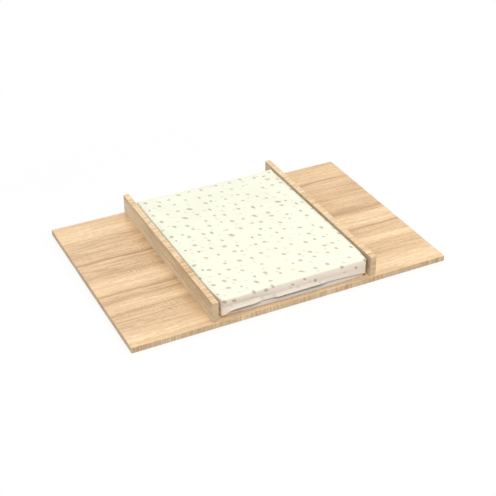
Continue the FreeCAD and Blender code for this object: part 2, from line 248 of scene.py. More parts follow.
class OakGrain(Effect):
    """Oak figure along the first axis: broad bands, streaks, arched lines, pores and saw marks."""

    VALUES = ("Figure", "Vein", "Saw Marks", "Lines")
    COLOURS = ("Light", "Mid", "Dark", "Vein Tint")
    DARK_TO_MID = (0.1, 0.5)
    MID_TO_LIGHT = (0.5, 0.9)
    PORE_TINT = 0.2
    RINGS = 13.0
    SAW_PITCH = 0.0105
    SAW_SKEW = 0.15
    SAW_SWAY = 0.02

    def __init__(self) -> None:
        """Builds the group."""
        takes = {"Place": Port.VECTOR} | dict.fromkeys(self.VALUES, Port.VALUE)
        gives = {"Colour": Port.COLOUR, "Roughness": Port.VALUE, "Height": Port.VALUE}
        super().__init__("Oak grain", takes | dict.fromkeys(self.COLOURS, Port.COLOUR), gives)
        wiring, takes = self.wiring, self.takes
        place = takes["Place"]
        broad = wiring.noise(place, (0.9, 13.0, 8.0))
        streak = wiring.noise(place, (3.2, 85.0, 60.0), detail=4.0, roughness=0.6)
        dash = wiring.noise(place, (13.0, 170.0, 120.0), detail=2.0)
        mottle = wiring.noise(place, (75.0, 190.0, 120.0), detail=2.0)
        fine = wiring.noise(place, (14.0, 520.0, 300.0), detail=3.0, roughness=0.6)
        pore = wiring.span(wiring.noise(place, (45.0, 1400.0, 900.0), detail=1.0), 0.6, 0.72)
        tone = wiring.math("ADD", takes["Figure"], 0.5)
        for layer, weight in ((broad, 0.9), (streak, 0.95), (dash, 0.7), (mottle, 0.62), (fine, 0.7)):
            tone = wiring.math("MULTIPLY_ADD", wiring.math("SUBTRACT", layer, 0.5), weight, tone)
        deep = wiring.tint(wiring.span(tone, *self.DARK_TO_MID), takes["Dark"], takes["Mid"])
        body = wiring.tint(wiring.span(tone, *self.MID_TO_LIGHT), deep, takes["Light"])
        sawn = wiring.tint(self.saw_marks(), body, takes["Light"])
        arched = wiring.math("MULTIPLY", self.arched_lines(), takes["Lines"])
        lined = wiring.math("MULTIPLY_ADD", pore, self.PORE_TINT, arched)
        dark_share = wiring.math("MAXIMUM", takes["Vein"], lined)
        self.give("Colour", wiring.tint(dark_share, sawn, takes["Vein Tint"]))
        self.give("Roughness", wiring.math("MULTIPLY_ADD", streak, 0.22, 0.38))
        relief = wiring.math("MULTIPLY_ADD", fine, 0.6, wiring.math("MULTIPLY", streak, 0.4))
        self.give("Height", wiring.math("MULTIPLY_ADD", pore, -0.5, relief))

    def arched_lines(self) -> Socket:
        """Thin dark lines that run round slow swellings of the grain.

        Returns:
            1 on the lines.
        """
        wiring, place = self.wiring, self.takes["Place"]
        swell = wiring.noise(place, (1.1, 9.0, 6.0), detail=1.0)
        ring = wiring.math("PINGPONG", wiring.math("MULTIPLY", swell, self.RINGS), 0.5)
        where = wiring.span(wiring.noise(place, (1.2, 6.0, 4.0), detail=1.0), 0.46, 0.6)
        return wiring.math("MULTIPLY", wiring.span(ring, 0.0, 0.16, 1.0, 0.0), where)

    def saw_marks(self) -> Socket:
        """Patches of pale lines across the grain, left by the saw.

        Returns:
            How strong the marks are.
        """
        wiring, place = self.wiring, self.takes["Place"]
        along, across, _ = wiring.parts(place)
        uneven = wiring.math("MULTIPLY", wiring.noise(place, (45.0, 30.0, 30.0), detail=1.0), self.SAW_SWAY)
        skewed = wiring.math("MULTIPLY_ADD", across, self.SAW_SKEW, wiring.math("ADD", along, uneven))
        wave = wiring.math("SINE", wiring.math("MULTIPLY", skewed, math.tau / self.SAW_PITCH))
        where = wiring.span(wiring.noise(place, (7.0, 14.0, 9.0), detail=1.0), 0.52, 0.66)
        mark = wiring.math("MULTIPLY", wiring.span(wave, 0.1, 1.0), where)
        return wiring.math("MULTIPLY", mark, self.takes["Saw Marks"])


class OakVein(Effect):
    """Mask of one dark vein that leans or bows across the grain, sharp on its lower side."""

    TAKES = ("Across", "Lean", "Bow", "Start", "End", "Width", "Strength")

    def __init__(self) -> None:
        """Builds the group."""
        takes = {"Place": Port.VECTOR} | dict.fromkeys(self.TAKES, Port.VALUE)
        super().__init__("Oak vein", takes, {"Mask": Port.VALUE})
        wiring, takes = self.wiring, self.takes
        along, across, _ = wiring.parts(takes["Place"])
        run = wiring.math("SUBTRACT", takes["End"], takes["Start"])
        share = wiring.math("DIVIDE", wiring.math("SUBTRACT", along, takes["Start"]), run)
        from_middle = wiring.math("SUBTRACT", share, 0.5)
        arch = wiring.math("MULTIPLY_ADD", wiring.math("MULTIPLY", from_middle, from_middle), -4.0, 1.0)
        line = wiring.math("MULTIPLY_ADD", from_middle, takes["Lean"], takes["Across"])
        line = wiring.math("MULTIPLY_ADD", arch, takes["Bow"], line)
        aside = wiring.math("DIVIDE", wiring.math("SUBTRACT", across, line), takes["Width"])
        spread = wiring.math("MAXIMUM", aside, wiring.math("MULTIPLY", aside, -3.0))
        mask = wiring.span(spread, 0.0, 1.0, 1.0, 0.0)
        for ends in ((0.0, 0.1), (1.0, 0.6)):
            mask = wiring.math("MULTIPLY", mask, wiring.span(share, *ends))
        self.give("Mask", wiring.math("MULTIPLY", mask, takes["Strength"]))


class EdgeWear(Effect):
    """Mask of rubbed edges on a board, from its middle and half sizes."""

    def __init__(self) -> None:
        """Builds the group."""
        takes = {"Place": Port.VECTOR, "Middle": Port.VECTOR, "Half": Port.VECTOR, "Width": Port.VALUE}
        super().__init__("Edge wear", takes, {"Mask": Port.VALUE})
        wiring, takes = self.wiring, self.takes
        off = wiring.vector("ABSOLUTE", wiring.vector("SUBTRACT", takes["Place"], takes["Middle"]))
        first, second, third = wiring.parts(wiring.vector("SUBTRACT", takes["Half"], off))
        lesser = wiring.math("MINIMUM", first, second)
        greater = wiring.math("MAXIMUM", first, second)
        to_edge = wiring.math("MAXIMUM", lesser, wiring.math("MINIMUM", greater, third))
        near = wiring.span(to_edge, 0.0, takes["Width"], 1.0, 0.0)
        broken = wiring.span(wiring.noise(takes["Place"], (70.0, 70.0, 70.0), detail=3.0), 0.4, 0.64)
        self.give("Mask", wiring.math("MULTIPLY", near, broken))

    def mask(self, wiring: Wiring, here: Socket, low: Vector, high: Vector, width: float) -> Socket:
        """Puts the group into the material of one piece.

        Args:
            wiring: The material's wiring.
            here: Place in the part's own frame.
            low: The piece's lowest corner.
            high: Its highest corner.
            width: How far the wear reaches from an edge.

        Returns:
            1 where the piece is rubbed.
        """
        box = {"Middle": (low + high) / 2, "Half": (high - low) / 2, "Width": width}
        return self.place(wiring, {"Place": here} | box)["Mask"]


class ClothWeave(Effect):
    """Plain weave: the height of its threads and slow uneven shade."""

    def __init__(self) -> None:
        """Builds the group."""
        takes = {"Place": Port.VECTOR, "Pitch": Port.VALUE}
        super().__init__("Cloth weave", takes, {"Height": Port.VALUE, "Shade": Port.VALUE})
        wiring, takes = self.wiring, self.takes
        ridges, counts = [], []
        for way in wiring.parts(takes["Place"])[:2]:
            thread = wiring.math("DIVIDE", way, takes["Pitch"])
            turn = wiring.math("MULTIPLY", thread, math.pi)
            ridges.append(wiring.math("ABSOLUTE", wiring.math("SINE", turn)))
            counts.append(wiring.math("FLOOR", thread))
        over = wiring.math("PINGPONG", wiring.math("ADD", *counts), 1.0)
        lift = wiring.math("SUBTRACT", ridges[0], ridges[1])
        self.give("Height", wiring.math("MULTIPLY_ADD", lift, over, ridges[1]))
        slub = wiring.noise(takes["Place"], (60.0, 600.0, 60.0), detail=3.0)
        slow = wiring.noise(takes["Place"], (9.0, 9.0, 9.0), detail=2.0)
        self.give("Shade", wiring.math("MULTIPLY_ADD", slub, 0.5, wiring.math("MULTIPLY", slow, 0.5)))


class FleckPrint(Effect):
    """Loose scatter of printed flecks, one at most in each cell, that lean about one way.

    Layers of one cell and seed share the cells out between them: each takes those from First on.
    """

    TAKES = ("Cell", "Length", "Width", "First", "Share", "Seed")
    LEAN = 0.78
    SPREAD = 1.1
    RANDOMNESS = 0.62
    RAGGEDNESS = 0.7
    PICKS = 7.0

    def __init__(self) -> None:
        """Builds the group."""
        takes = {"Place": Port.VECTOR} | dict.fromkeys(self.TAKES, Port.VALUE)
        super().__init__("Fleck print", takes, {"Mask": Port.VALUE, "Pick": Port.VALUE})
        wiring, takes = self.wiring, self.takes
        seeded = wiring.vector("ADD", takes["Place"], wiring.join(takes["Seed"], takes["Seed"]))
        cells = wiring.vector("DIVIDE", seeded, wiring.join(takes["Cell"], takes["Cell"], 1.0))
        feeds = {"Vector": cells, "Scale": 1.0, "Randomness": self.RANDOMNESS}
        middle = wiring.node("ShaderNodeTexVoronoi", feeds, voronoi_dimensions="2D").outputs["Position"]
        chance = wiring.node("ShaderNodeTexWhiteNoise", {"Vector": middle}, noise_dimensions="2D")
        turn, girth, kept = wiring.parts(chance.outputs["Color"])
        size = wiring.join(takes["Cell"], takes["Cell"])
        apart = wiring.vector("MULTIPLY", wiring.vector("SUBTRACT", cells, middle), size)
        angle = wiring.math("MULTIPLY_ADD", turn, self.SPREAD, self.LEAN - self.SPREAD / 2)
        feeds = {"Vector": apart, "Angle": angle}
        turned = wiring.node("ShaderNodeVectorRotate", feeds, rotation_type="Z_AXIS").outputs[0]
        shape = wiring.vector("DIVIDE", turned, wiring.join(takes["Length"], takes["Width"], 1.0))
        rough = wiring.noise(seeded, (420.0, 420.0, 1.0), detail=1.0)
        ragged = wiring.math("MULTIPLY_ADD", rough, self.RAGGEDNESS, wiring.length(shape))
        edge = wiring.math("MULTIPLY_ADD", girth, 0.3, 0.88)
        inked = wiring.span(wiring.math("DIVIDE", ragged, edge), 0.75, 1.35, 1.0, 0.0)
        half = wiring.math("MULTIPLY", takes["Share"], 0.5)
        there = wiring.math("COMPARE", kept, wiring.math("ADD", takes["First"], half), half)
        self.give("Mask", wiring.math("MULTIPLY", inked, there))
        self.give("Pick", wiring.math("FRACT", wiring.math("MULTIPLY", turn, self.PICKS)))


@dataclass
class Effects:
    """The shared effects, each built once."""

    wander: GrainWander
    grain: OakGrain
    vein: OakVein
    wear: EdgeWear
    weave: ClothWeave
    flecks: FleckPrint

    @classmethod
    def build(cls) -> "Effects":
        """Builds every group."""
        return cls(GrainWander(), OakGrain(), OakVein(), EdgeWear(), ClothWeave(), FleckPrint())


class Grain(Enum):
    """Which axes run along the grain, across it and into the board."""

    ALONG_X = (0, 1, 2)
    ALONG_Y = (1, 2, 0)
    UPRIGHT_ON_FRONT = (2, 0, 1)
    UPRIGHT_ON_SIDE = (2, 1, 0)


@dataclass(frozen=True)
class Vein:
    """One dark vein: where it lies across the grain, how it runs, and how strong it is."""

    across: float
    start: float
    end: float
    width: float
    strength: float
    lean: float = 0.0
    bow: float = 0.0

    def feeds(self, place: Socket) -> dict[str, Feed]:
        """What the vein's group takes."""
        sizes = {label: getattr(self, label.lower()) for label in OakVein.TAKES}
        return {"Place": place} | sizes


@dataclass(frozen=True)
class Band:
    """Where a broad light or dark band lies across the grain, and its tone from 0 to 1."""

    across: float
    tone: float


def new_material(name: str) -> tuple[bpy.types.Material, Wiring, bpy.types.Node]:
    """Makes a material.

    Args:
        name: The material's name.

    Returns:
        The material, its wiring, and its main shader.
    """
    made = bpy.data.materials.new(name)
    made.use_nodes = True
    wiring = Wiring(made.node_tree)
    return made, wiring, made.node_tree.nodes["Principled BSDF"]


def object_place(wiring: Wiring) -> Socket:
    """Place in the part's own frame, which every piece here shares."""
    return wiring.node("ShaderNodeTexCoord").outputs["Object"]


def cloth_place(wiring: Wiring) -> Socket:
    """Place on the cloth before it was sewn, in metres."""
    return wiring.node("ShaderNodeUVMap", uv_map=PadForm.CLOTH_MAP).outputs[0]


@dataclass(frozen=True)
class OakFinish:
    """Oak-effect laminate or edge band."""

    grain: Grain
    seed: float
    saw_marks: float = 0.5
    lines: float = 0.4
    wander: float = 0.04
    inner_way: float = 0.0
    # This darkens the face towards the mat: painted shade for the shade the mat and the narrow gap throw
    # there.
    painted_inner_shade: float = -0.3
    light: Colour = srgb(248, 219, 178)
    mid: Colour = srgb(229, 194, 152)
    dark: Colour = srgb(201, 167, 128)
    vein_tint: Colour = srgb(176, 138, 100)
    bands: tuple[Band, ...] = ()
    veins: tuple[Vein, ...] = ()

    WEAR_WIDTH = 0.0012
    WEAR_SHARE = 0.45
    RELIEF = 0.0003

    def figure(self, wiring: Wiring, across: Socket) -> Feed:
        """Tone of the broad bands.

        Args:
            wiring: The material's wiring.
            across: Place across the grain.

        Returns:
            A tone around 0, darker below it.
        """
        if not self.bands:
            return 0.0
        low, high = self.bands[0].across, self.bands[-1].across
        ramp = wiring.node("ShaderNodeValToRGB")
        ramp.color_ramp.interpolation = "EASE"
        stops = ramp.color_ramp.elements
        for number, band in enumerate(self.bands):
            at = (band.across - low) / (high - low)
            stop = stops[number] if number < 2 else stops.new(at)
            stop.position = at
            stop.color = (band.tone, band.tone, band.tone, 1.0)
        reach = wiring.math("DIVIDE", wiring.math("SUBTRACT", across, low), high - low)
        wiring.feed(ramp.inputs[0], reach)
        return wiring.math("SUBTRACT", ramp.outputs[0], 0.5)

    def paint_inner_shade(self, wiring: Wiring, deep: Socket, middle: float, tone: Feed) -> Feed:
        """Paints shade on the face towards the mat: darkens it against the outer one.

        Args:
            wiring: The material's wiring.
            deep: Place through the board.
            middle: The board's middle there.
            tone: The tone of both faces so far.

        Returns:
            The tone with the inner face's painted shade added.
        """
        if not self.inner_way:
            return tone
        past = wiring.math("MULTIPLY", wiring.math("SUBTRACT", deep, middle), self.inner_way)
        return wiring.math("MULTIPLY_ADD", wiring.math("GREATER_THAN", past, 0.0), self.painted_inner_shade, tone)

    def material(self, name: str, effects: Effects, low: Vector, high: Vector) -> bpy.types.Material:
        """Makes the finish for one board.

        Args:
            name: The material's name.
            effects: The shared effects.
            low: The board's lowest corner.
            high: Its highest corner.

        Returns:
            The material.
        """
        made, wiring, shader = new_material(name)
        here = object_place(wiring)
        axes = wiring.parts(here)
        turned = wiring.join(*(axes[number] for number in self.grain.value))
        moved = wiring.vector("ADD", turned, (0.0, 0.0, self.seed))
        place = effects.wander.place(wiring, {"Place": moved, "Reach": self.wander})["Place"]
        dark = 0.0
        for vein in self.veins:
            mask = effects.vein.place(wiring, vein.feeds(place))["Mask"]
            dark = wiring.math("MAXIMUM", dark, mask)
        feeds = {"Place": place, "Vein": dark, "Saw Marks": self.saw_marks, "Lines": self.lines}
        through = self.grain.value[2]
        tone = self.figure(wiring, wiring.parts(place)[1])
        # The face towards the mat gets its painted shade here.
        feeds |= {"Figure": self.paint_inner_shade(wiring, axes[through], (low + high)[through] / 2, tone)}
        feeds |= {"Light": self.light, "Mid": self.mid, "Dark": self.dark, "Vein Tint": self.vein_tint}
        grain = effects.grain.place(wiring, feeds)
        worn = effects.wear.mask(wiring, here, low, high, self.WEAR_WIDTH)
        rubbed = wiring.math("MULTIPLY", worn, self.WEAR_SHARE)
        looks = {"Base Color": wiring.tint(rubbed, grain["Colour"], self.light)}
        looks |= {"Roughness": wiring.math("MULTIPLY_ADD", worn, 0.15, grain["Roughness"])}
        looks |= {"Normal": wiring.bump(grain["Height"], self.RELIEF, 0.35), "Specular IOR Level": 0.3}
        wiring.fill(shader, looks)
        return made


@dataclass(frozen=True)
class ZincFinish:
    """Bright zinc plating with faint turning marks."""

    bright: Colour = srgb(206, 207, 205)
    dull: Colour = srgb(168, 169, 168)

    WEAR_WIDTH = 0.0006
    RELIEF = 0.00008

    def material(self, name: str, effects: Effects, low: Vector, high: Vector) -> bpy.types.Material:
        """Makes the finish for one group of screws.

        Args:
            name: The material's name.
            effects: The shared effects.
            low: The group's lowest corner.
            high: Its highest corner.

        Returns:
            The material.
        """
        made, wiring, shader = new_material(name)
        here = object_place(wiring)
        cloudy = wiring.noise(here, (260.0, 260.0, 260.0), detail=3.0)
        turned = wiring.noise(here, (300.0, 300.0, 5200.0), detail=2.0)
        worn = effects.wear.mask(wiring, here, low, high, self.WEAR_WIDTH)
        share = wiring.math("MAXIMUM", wiring.span(cloudy, 0.35, 0.65), worn)
        looks = {"Base Color": wiring.tint(share, self.dull, self.bright), "Metallic": 1.0}
        looks |= {"Roughness": wiring.math("MULTIPLY_ADD", cloudy, 0.25, 0.2)}
        looks |= {"Normal": wiring.bump(turned, self.RELIEF, 0.4)}
        wiring.fill(shader, looks)
        return made


@dataclass(frozen=True)
class Flecks:
    """One layer of the print: the size, spacing and inks of its flecks."""

    cell: float
    length: float
    width: float
    first: float
    share: float
    seed: float
    ink: Colour
    other_ink: Colour
    other_share: float
    strength: float
    # Painted light: a warmer ink for the flecks on the walls.
    painted_light_ink: Colour | None = None

    def ink_over(
        self, wiring: Wiring, effects: Effects, place: Socket, ground: Feed, painted_light_share: Feed
    ) -> Socket:
        """Prints the layer on a ground colour.

        Args:
            wiring: The material's wiring.
            effects: The shared effects.
            place: Place on the cloth.
            ground: The colour that is printed on.
            painted_light_share: 1 on the cloth's sides, and 0 on its top.

        Returns:
            The printed colour.
        """
        sizes = {label: getattr(self, label.lower()) for label in FleckPrint.TAKES}
        layer = effects.flecks.place(wiring, {"Place": place} | sizes)
        second = wiring.math("LESS_THAN", layer["Pick"], self.other_share)
        ink = wiring.tint(second, self.ink, self.other_ink)
        # Painted light: on the walls the flecks take warmer copies of their inks.
        if self.painted_light_ink:
            ink = wiring.tint(painted_light_share, ink, self.painted_light_ink)
        return wiring.tint(wiring.math("MULTIPLY", layer["Mask"], self.strength), ground, ink)


@dataclass(frozen=True)
class ClothFinish:
    """Woven cotton, plain or printed with flecks."""

    pale: Colour
    shaded: Colour
    pitch: float = 0.0009
    relief: float = 0.00018
    layers: tuple[Flecks, ...] = ()
    # The walls' own colours are painted light: paler and warmer than the top, for the brighter, warmer
    # light that falls on the mat's walls.
    painted_light_pale: Colour | None = None
    painted_light_shaded: Colour | None = None
    side_top: float = 0.078

    BELOW_EDGE = 0.006
    ABOVE_EDGE = 0.003

    def material(self, name: str, effects: Effects) -> bpy.types.Material:
        """Makes the finish.

        Args:
            name: The material's name.
            effects: The shared effects.

        Returns:
            The material.
        """
        made, wiring, shader = new_material(name)
        place = cloth_place(wiring)
        weave = effects.weave.place(wiring, {"Place": place, "Pitch": self.pitch})
        shade = wiring.span(weave["Shade"], 0.38, 0.6)
        colour = wiring.tint(shade, self.shaded, self.pale)
        height = wiring.parts(object_place(wiring))[2]
        lowest, highest = self.side_top - self.BELOW_EDGE, self.side_top + self.ABOVE_EDGE
        side = wiring.span(height, lowest, highest, 1.0, 0.0)
        # Painted light: below side_top the walls take their paler, warmer colours.
        if self.painted_light_pale and self.painted_light_shaded:
            colour = wiring.tint(side, colour, wiring.tint(shade, self.painted_light_shaded, self.painted_light_pale))
        for layer in self.layers:
            colour = layer.ink_over(wiring, effects, place, colour, side)
        looks = {"Base Color": colour, "Normal": wiring.bump(weave["Height"], self.relief, 0.12)}
        looks |= {"Roughness": wiring.math("MULTIPLY_ADD", weave["Shade"], 0.2, 0.75)}
        looks |= {"Specular IOR Level": 0.2, "Sheen Weight": 0.08, "Sheen Roughness": 0.5}
        wiring.fill(shader, looks)
        return made


@dataclass(frozen=True)
class FoamFinish:
    """Open-celled upholstery foam."""

    pale: Colour = srgb(246, 240, 216)
    shaded: Colour = srgb(222, 211, 176)

    CELLS = 700.0
    RELIEF = 0.0006

    def material(self, name: str) -> bpy.types.Material:
        """Makes the finish.

        Args:
            name: The material's name.

        Returns:
            The material.
        """
        made, wiring, shader = new_material(name)
        here = object_place(wiring)
        feeds = {"Vector": here, "Scale": self.CELLS}
        cells = wiring.node("ShaderNodeTexVoronoi", feeds).outputs["Distance"]
        slow = wiring.noise(here, (12.0, 12.0, 12.0))
        open_cell = wiring.math("MULTIPLY_ADD", cells, 0.7, wiring.math("MULTIPLY", slow, 0.4))
        looks = {"Base Color": wiring.tint(wiring.span(open_cell, 0.2, 0.7), self.shaded, self.pale)}
        looks |= {"Roughness": wiring.math("MULTIPLY_ADD", slow, 0.2, 0.8)}
        looks |= {"Normal": wiring.bump(cells, self.RELIEF, 0.6)}
        wiring.fill(shader, looks)
        return made


@dataclass(frozen=True)
class ThreadFinish:
    """Twisted sewing thread."""

    pale: Colour = srgb(250, 248, 238)
    shaded: Colour = srgb(232, 228, 212)

    RELIEF = 0.0001

    def material(self, name: str) -> bpy.types.Material:
        """Makes the finish.

        Args:
            name: The material's name.

        Returns:
            The material.
        """
        made, wiring, shader = new_material(name)
        twist = wiring.noise(object_place(wiring), (900.0, 900.0, 2400.0), detail=1.0)
        looks = {"Base Color": wiring.tint(twist, self.shaded, self.pale), "Roughness": 0.7}
        wiring.fill(shader, looks | {"Normal": wiring.bump(twist, self.RELIEF, 0.4)})
        return made


BAND_TONES = {"light": srgb(246, 218, 177), "mid": srgb(224, 194, 155), "dark": srgb(194, 163, 125)}
# Painted shade: the base's left and right edge bands are the front bands' laminate made darker, for the
# shade on faces turned to the sides.
PAINTED_SHADE_SIDE_TONES = {"light": srgb(230, 203, 161), "mid": srgb(206, 178, 139), "dark": srgb(177, 148, 111)}
CHEEK_TONES = {
    "light": srgb(238, 221, 194),
    "mid": srgb(218, 198, 168),
    "dark": srgb(188, 163, 131),
    "vein_tint": srgb(170, 143, 110),
}
END_TONES = {"light": srgb(240, 212, 173), "mid": srgb(228, 198, 159), "dark": srgb(208, 177, 138)}
TOP_TONES = {"light": srgb(253, 232, 198), "mid": srgb(231, 200, 159), "dark": srgb(195, 158, 115)}
BEECH_TONES = {"light": srgb(236, 208, 170), "mid": srgb(222, 190, 148), "dark": srgb(203, 168, 124)}
BASE_FIGURE = (
    Band(-0.36, 0.6), Band(-0.315, 0.68), Band(-0.282, 0.42), Band(-0.235, 0.36), Band(-0.195, 0.42),
    Band(-0.165, 0.72), Band(-0.130, 0.4), Band(-0.108, 0.5), Band(-0.092, 0.3), Band(-0.07, 0.72),
    Band(-0.015, 0.62), Band(0.016, 0.28), Band(0.065, 0.3), Band(0.11, 0.3), Band(0.17, 0.46),
    Band(0.23, 0.42), Band(0.27, 0.6), Band(0.33, 0.56), Band(0.36, 0.48),
)
# Tone of the cheek boards by height: lighter near the foot, darker towards the top edge.
CHEEK_HEIGHT_BANDS = (
    Band(0.019, 0.6), Band(0.045, 0.58), Band(0.068, 0.45), Band(0.083, 0.3), Band(0.089, 0.26),
)
BASE_VEINS = (
    Vein(0.109, -0.62, 0.1, 0.016, 0.88, lean=-0.01, bow=-0.004),
    Vein(0.215, -0.62, -0.2, 0.009, 0.4, lean=-0.05, bow=0.03),
    Vein(0.186, -0.62, -0.24, 0.007, 0.3, lean=-0.03, bow=0.022),
    Vein(0.218, 0.2, 0.62, 0.015, 0.7, lean=0.01, bow=0.028),
    Vein(0.014, -0.48, 0.7, 0.011, 0.45, lean=-0.008),
    Vein(-0.091, 0.2, 0.75, 0.012, 0.65, lean=-0.004),
    Vein(-0.093, -0.7, -0.1, 0.009, 0.45, lean=0.006),
    Vein(-0.127, -0.7, 0.1, 0.01, 0.5, lean=0.012),
    Vein(-0.193, -0.6, -0.2, 0.006, 0.5, lean=0.02),
    Vein(-0.214, -0.58, 0.6, 0.005, 0.4, lean=0.006),
    Vein(-0.232, -0.62, -0.22, 0.006, 0.45, lean=0.012),
)

IVORY = srgb(245, 246, 227)
IVORY_SHADE = srgb(240, 240, 220)
# Painted light: paler, warmer ivories for the cover's walls.
PAINTED_LIGHT_IVORY = srgb(252, 239, 222)
PAINTED_LIGHT_IVORY_SHADE = srgb(247, 233, 215)
TAUPE = srgb(166, 163, 141)
SLATE = srgb(130, 126, 107)
OCHRE = srgb(176, 138, 84)
MIST = srgb(222, 223, 207)
# Painted light: warmer copies of the fleck inks for the cover's walls.
PAINTED_LIGHT_MIST = srgb(229, 215, 199)
PAINTED_LIGHT_TAUPE = srgb(174, 148, 112)
PAINTED_LIGHT_SLATE = srgb(124, 113, 97)
PRINT_LAYERS = (
    Flecks(0.040, 0.0076, 0.0050, 0.0, 0.70, 0.4, MIST, MIST, 0.0, 0.85, PAINTED_LIGHT_MIST),
    Flecks(0.045, 0.0092, 0.0060, 0.0, 0.60, 1.7, TAUPE, TAUPE, 0.0, 0.68, PAINTED_LIGHT_TAUPE),
    Flecks(0.045, 0.0060, 0.0054, 0.60, 0.18, 1.7, SLATE, SLATE, 0.0, 0.66, PAINTED_LIGHT_SLATE),
    Flecks(0.045, 0.0120, 0.0060, 0.78, 0.18, 1.7, SLATE, OCHRE, 0.45, 0.62, OCHRE),
)


def dress(node: str, material: bpy.types.Material) -> None:
    """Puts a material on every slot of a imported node.

    Args:
        node: The node's name.
        material: Its new material.
    """
    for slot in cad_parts[node].material_slots:
        slot.material = material
    LOG.info("dressed %s with %s", node, material.name)


@dataclass
class BaseBoard:
    """The wide board and its four edge bands."""

    effects: Effects
    face: OakFinish = OakFinish(Grain.ALONG_X, 0.0, bands=BASE_FIGURE, veins=BASE_VEINS)
    front_band: OakFinish = OakFinish(Grain.UPRIGHT_ON_FRONT, 2.3, wander=0.0, **BAND_TONES)
    # The side bands carry painted shade.
    painted_shade_side_band: OakFinish = OakFinish(Grain.UPRIGHT_ON_SIDE, 4.1, wander=0.0, **PAINTED_SHADE_SIDE_TONES)

    def finishes(self) -> dict[str, OakFinish]:
        """Which finish goes on which node."""
        bands = {f"base_{side}_edge_band": self.front_band for side in ("front", "back")}
        bands |= {f"base_{side}_edge_band": self.painted_shade_side_band for side in ("left", "right")}
        return {"base_board": self.face} | bands

    def dress(self) -> None:
        """Dresses the board and its bands."""
        for node, finish in self.finishes().items():
            dress(node, finish.material(f"oak_{node}", self.effects, *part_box(node)))


@dataclass
class Cheek:
    """One upright cheek with its edge bands, screws and dowels."""

    effects: Effects
    side: str
    inner_way: float
    seed: float

    def finishes(self) -> dict[str, OakFinish | ZincFinish]:
        """Which finish goes on which node."""
        board = OakFinish(
            Grain.ALONG_Y,
            self.seed,
            lines=0.12,
            bands=CHEEK_HEIGHT_BANDS,
            inner_way=self.inner_way,
            **CHEEK_TONES,
        )
        top = OakFinish(Grain.ALONG_X, self.seed + 2.6, wander=0.01, **TOP_TONES)
        end = OakFinish(Grain.ALONG_X, self.seed + 1.3, saw_marks=0.1, wander=0.01, **END_TONES)
        beech = OakFinish(Grain.UPRIGHT_ON_FRONT, self.seed + 5.0, saw_marks=0.0, **BEECH_TONES)
        named = {"board": board, "top_edge_band": top, "front_edge_band": end, "back_edge_band": end}
        named |= {"screws": ZincFinish(), "dowels": beech}
        return {f"{self.side}_cheek_{name}": finish for name, finish in named.items()}

    def dress(self) -> None:
        """Dresses every node of the cheek."""
        for node, finish in self.finishes().items():
            dress(node, finish.material(f"finish_{node}", self.effects, *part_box(node)))


class PadPart(Enum):
    """Which stretch of a padded form is wanted."""

    WHOLE = "whole"
    ABOVE_HEM = "above the hem"
    BELOW_HEM = "below the hem"


def follow(table: Table, places: np.ndarray) -> np.ndarray:
    """Values of a two-column table at the given places."""
    return np.interp(places, *np.array(table).T)


def front_share(outward: np.ndarray) -> np.ndarray:
    """1 where a wall faces the front, falling off as it turns away."""
    return np.clip(-outward[:, 1], 0.0, 1.0) ** 4


def round_share(outward: np.ndarray) -> np.ndarray:
    """1 in the middle of a round corner, and 0 along the sides."""
    return np.abs(np.prod(outward, axis=1)) * 2.0


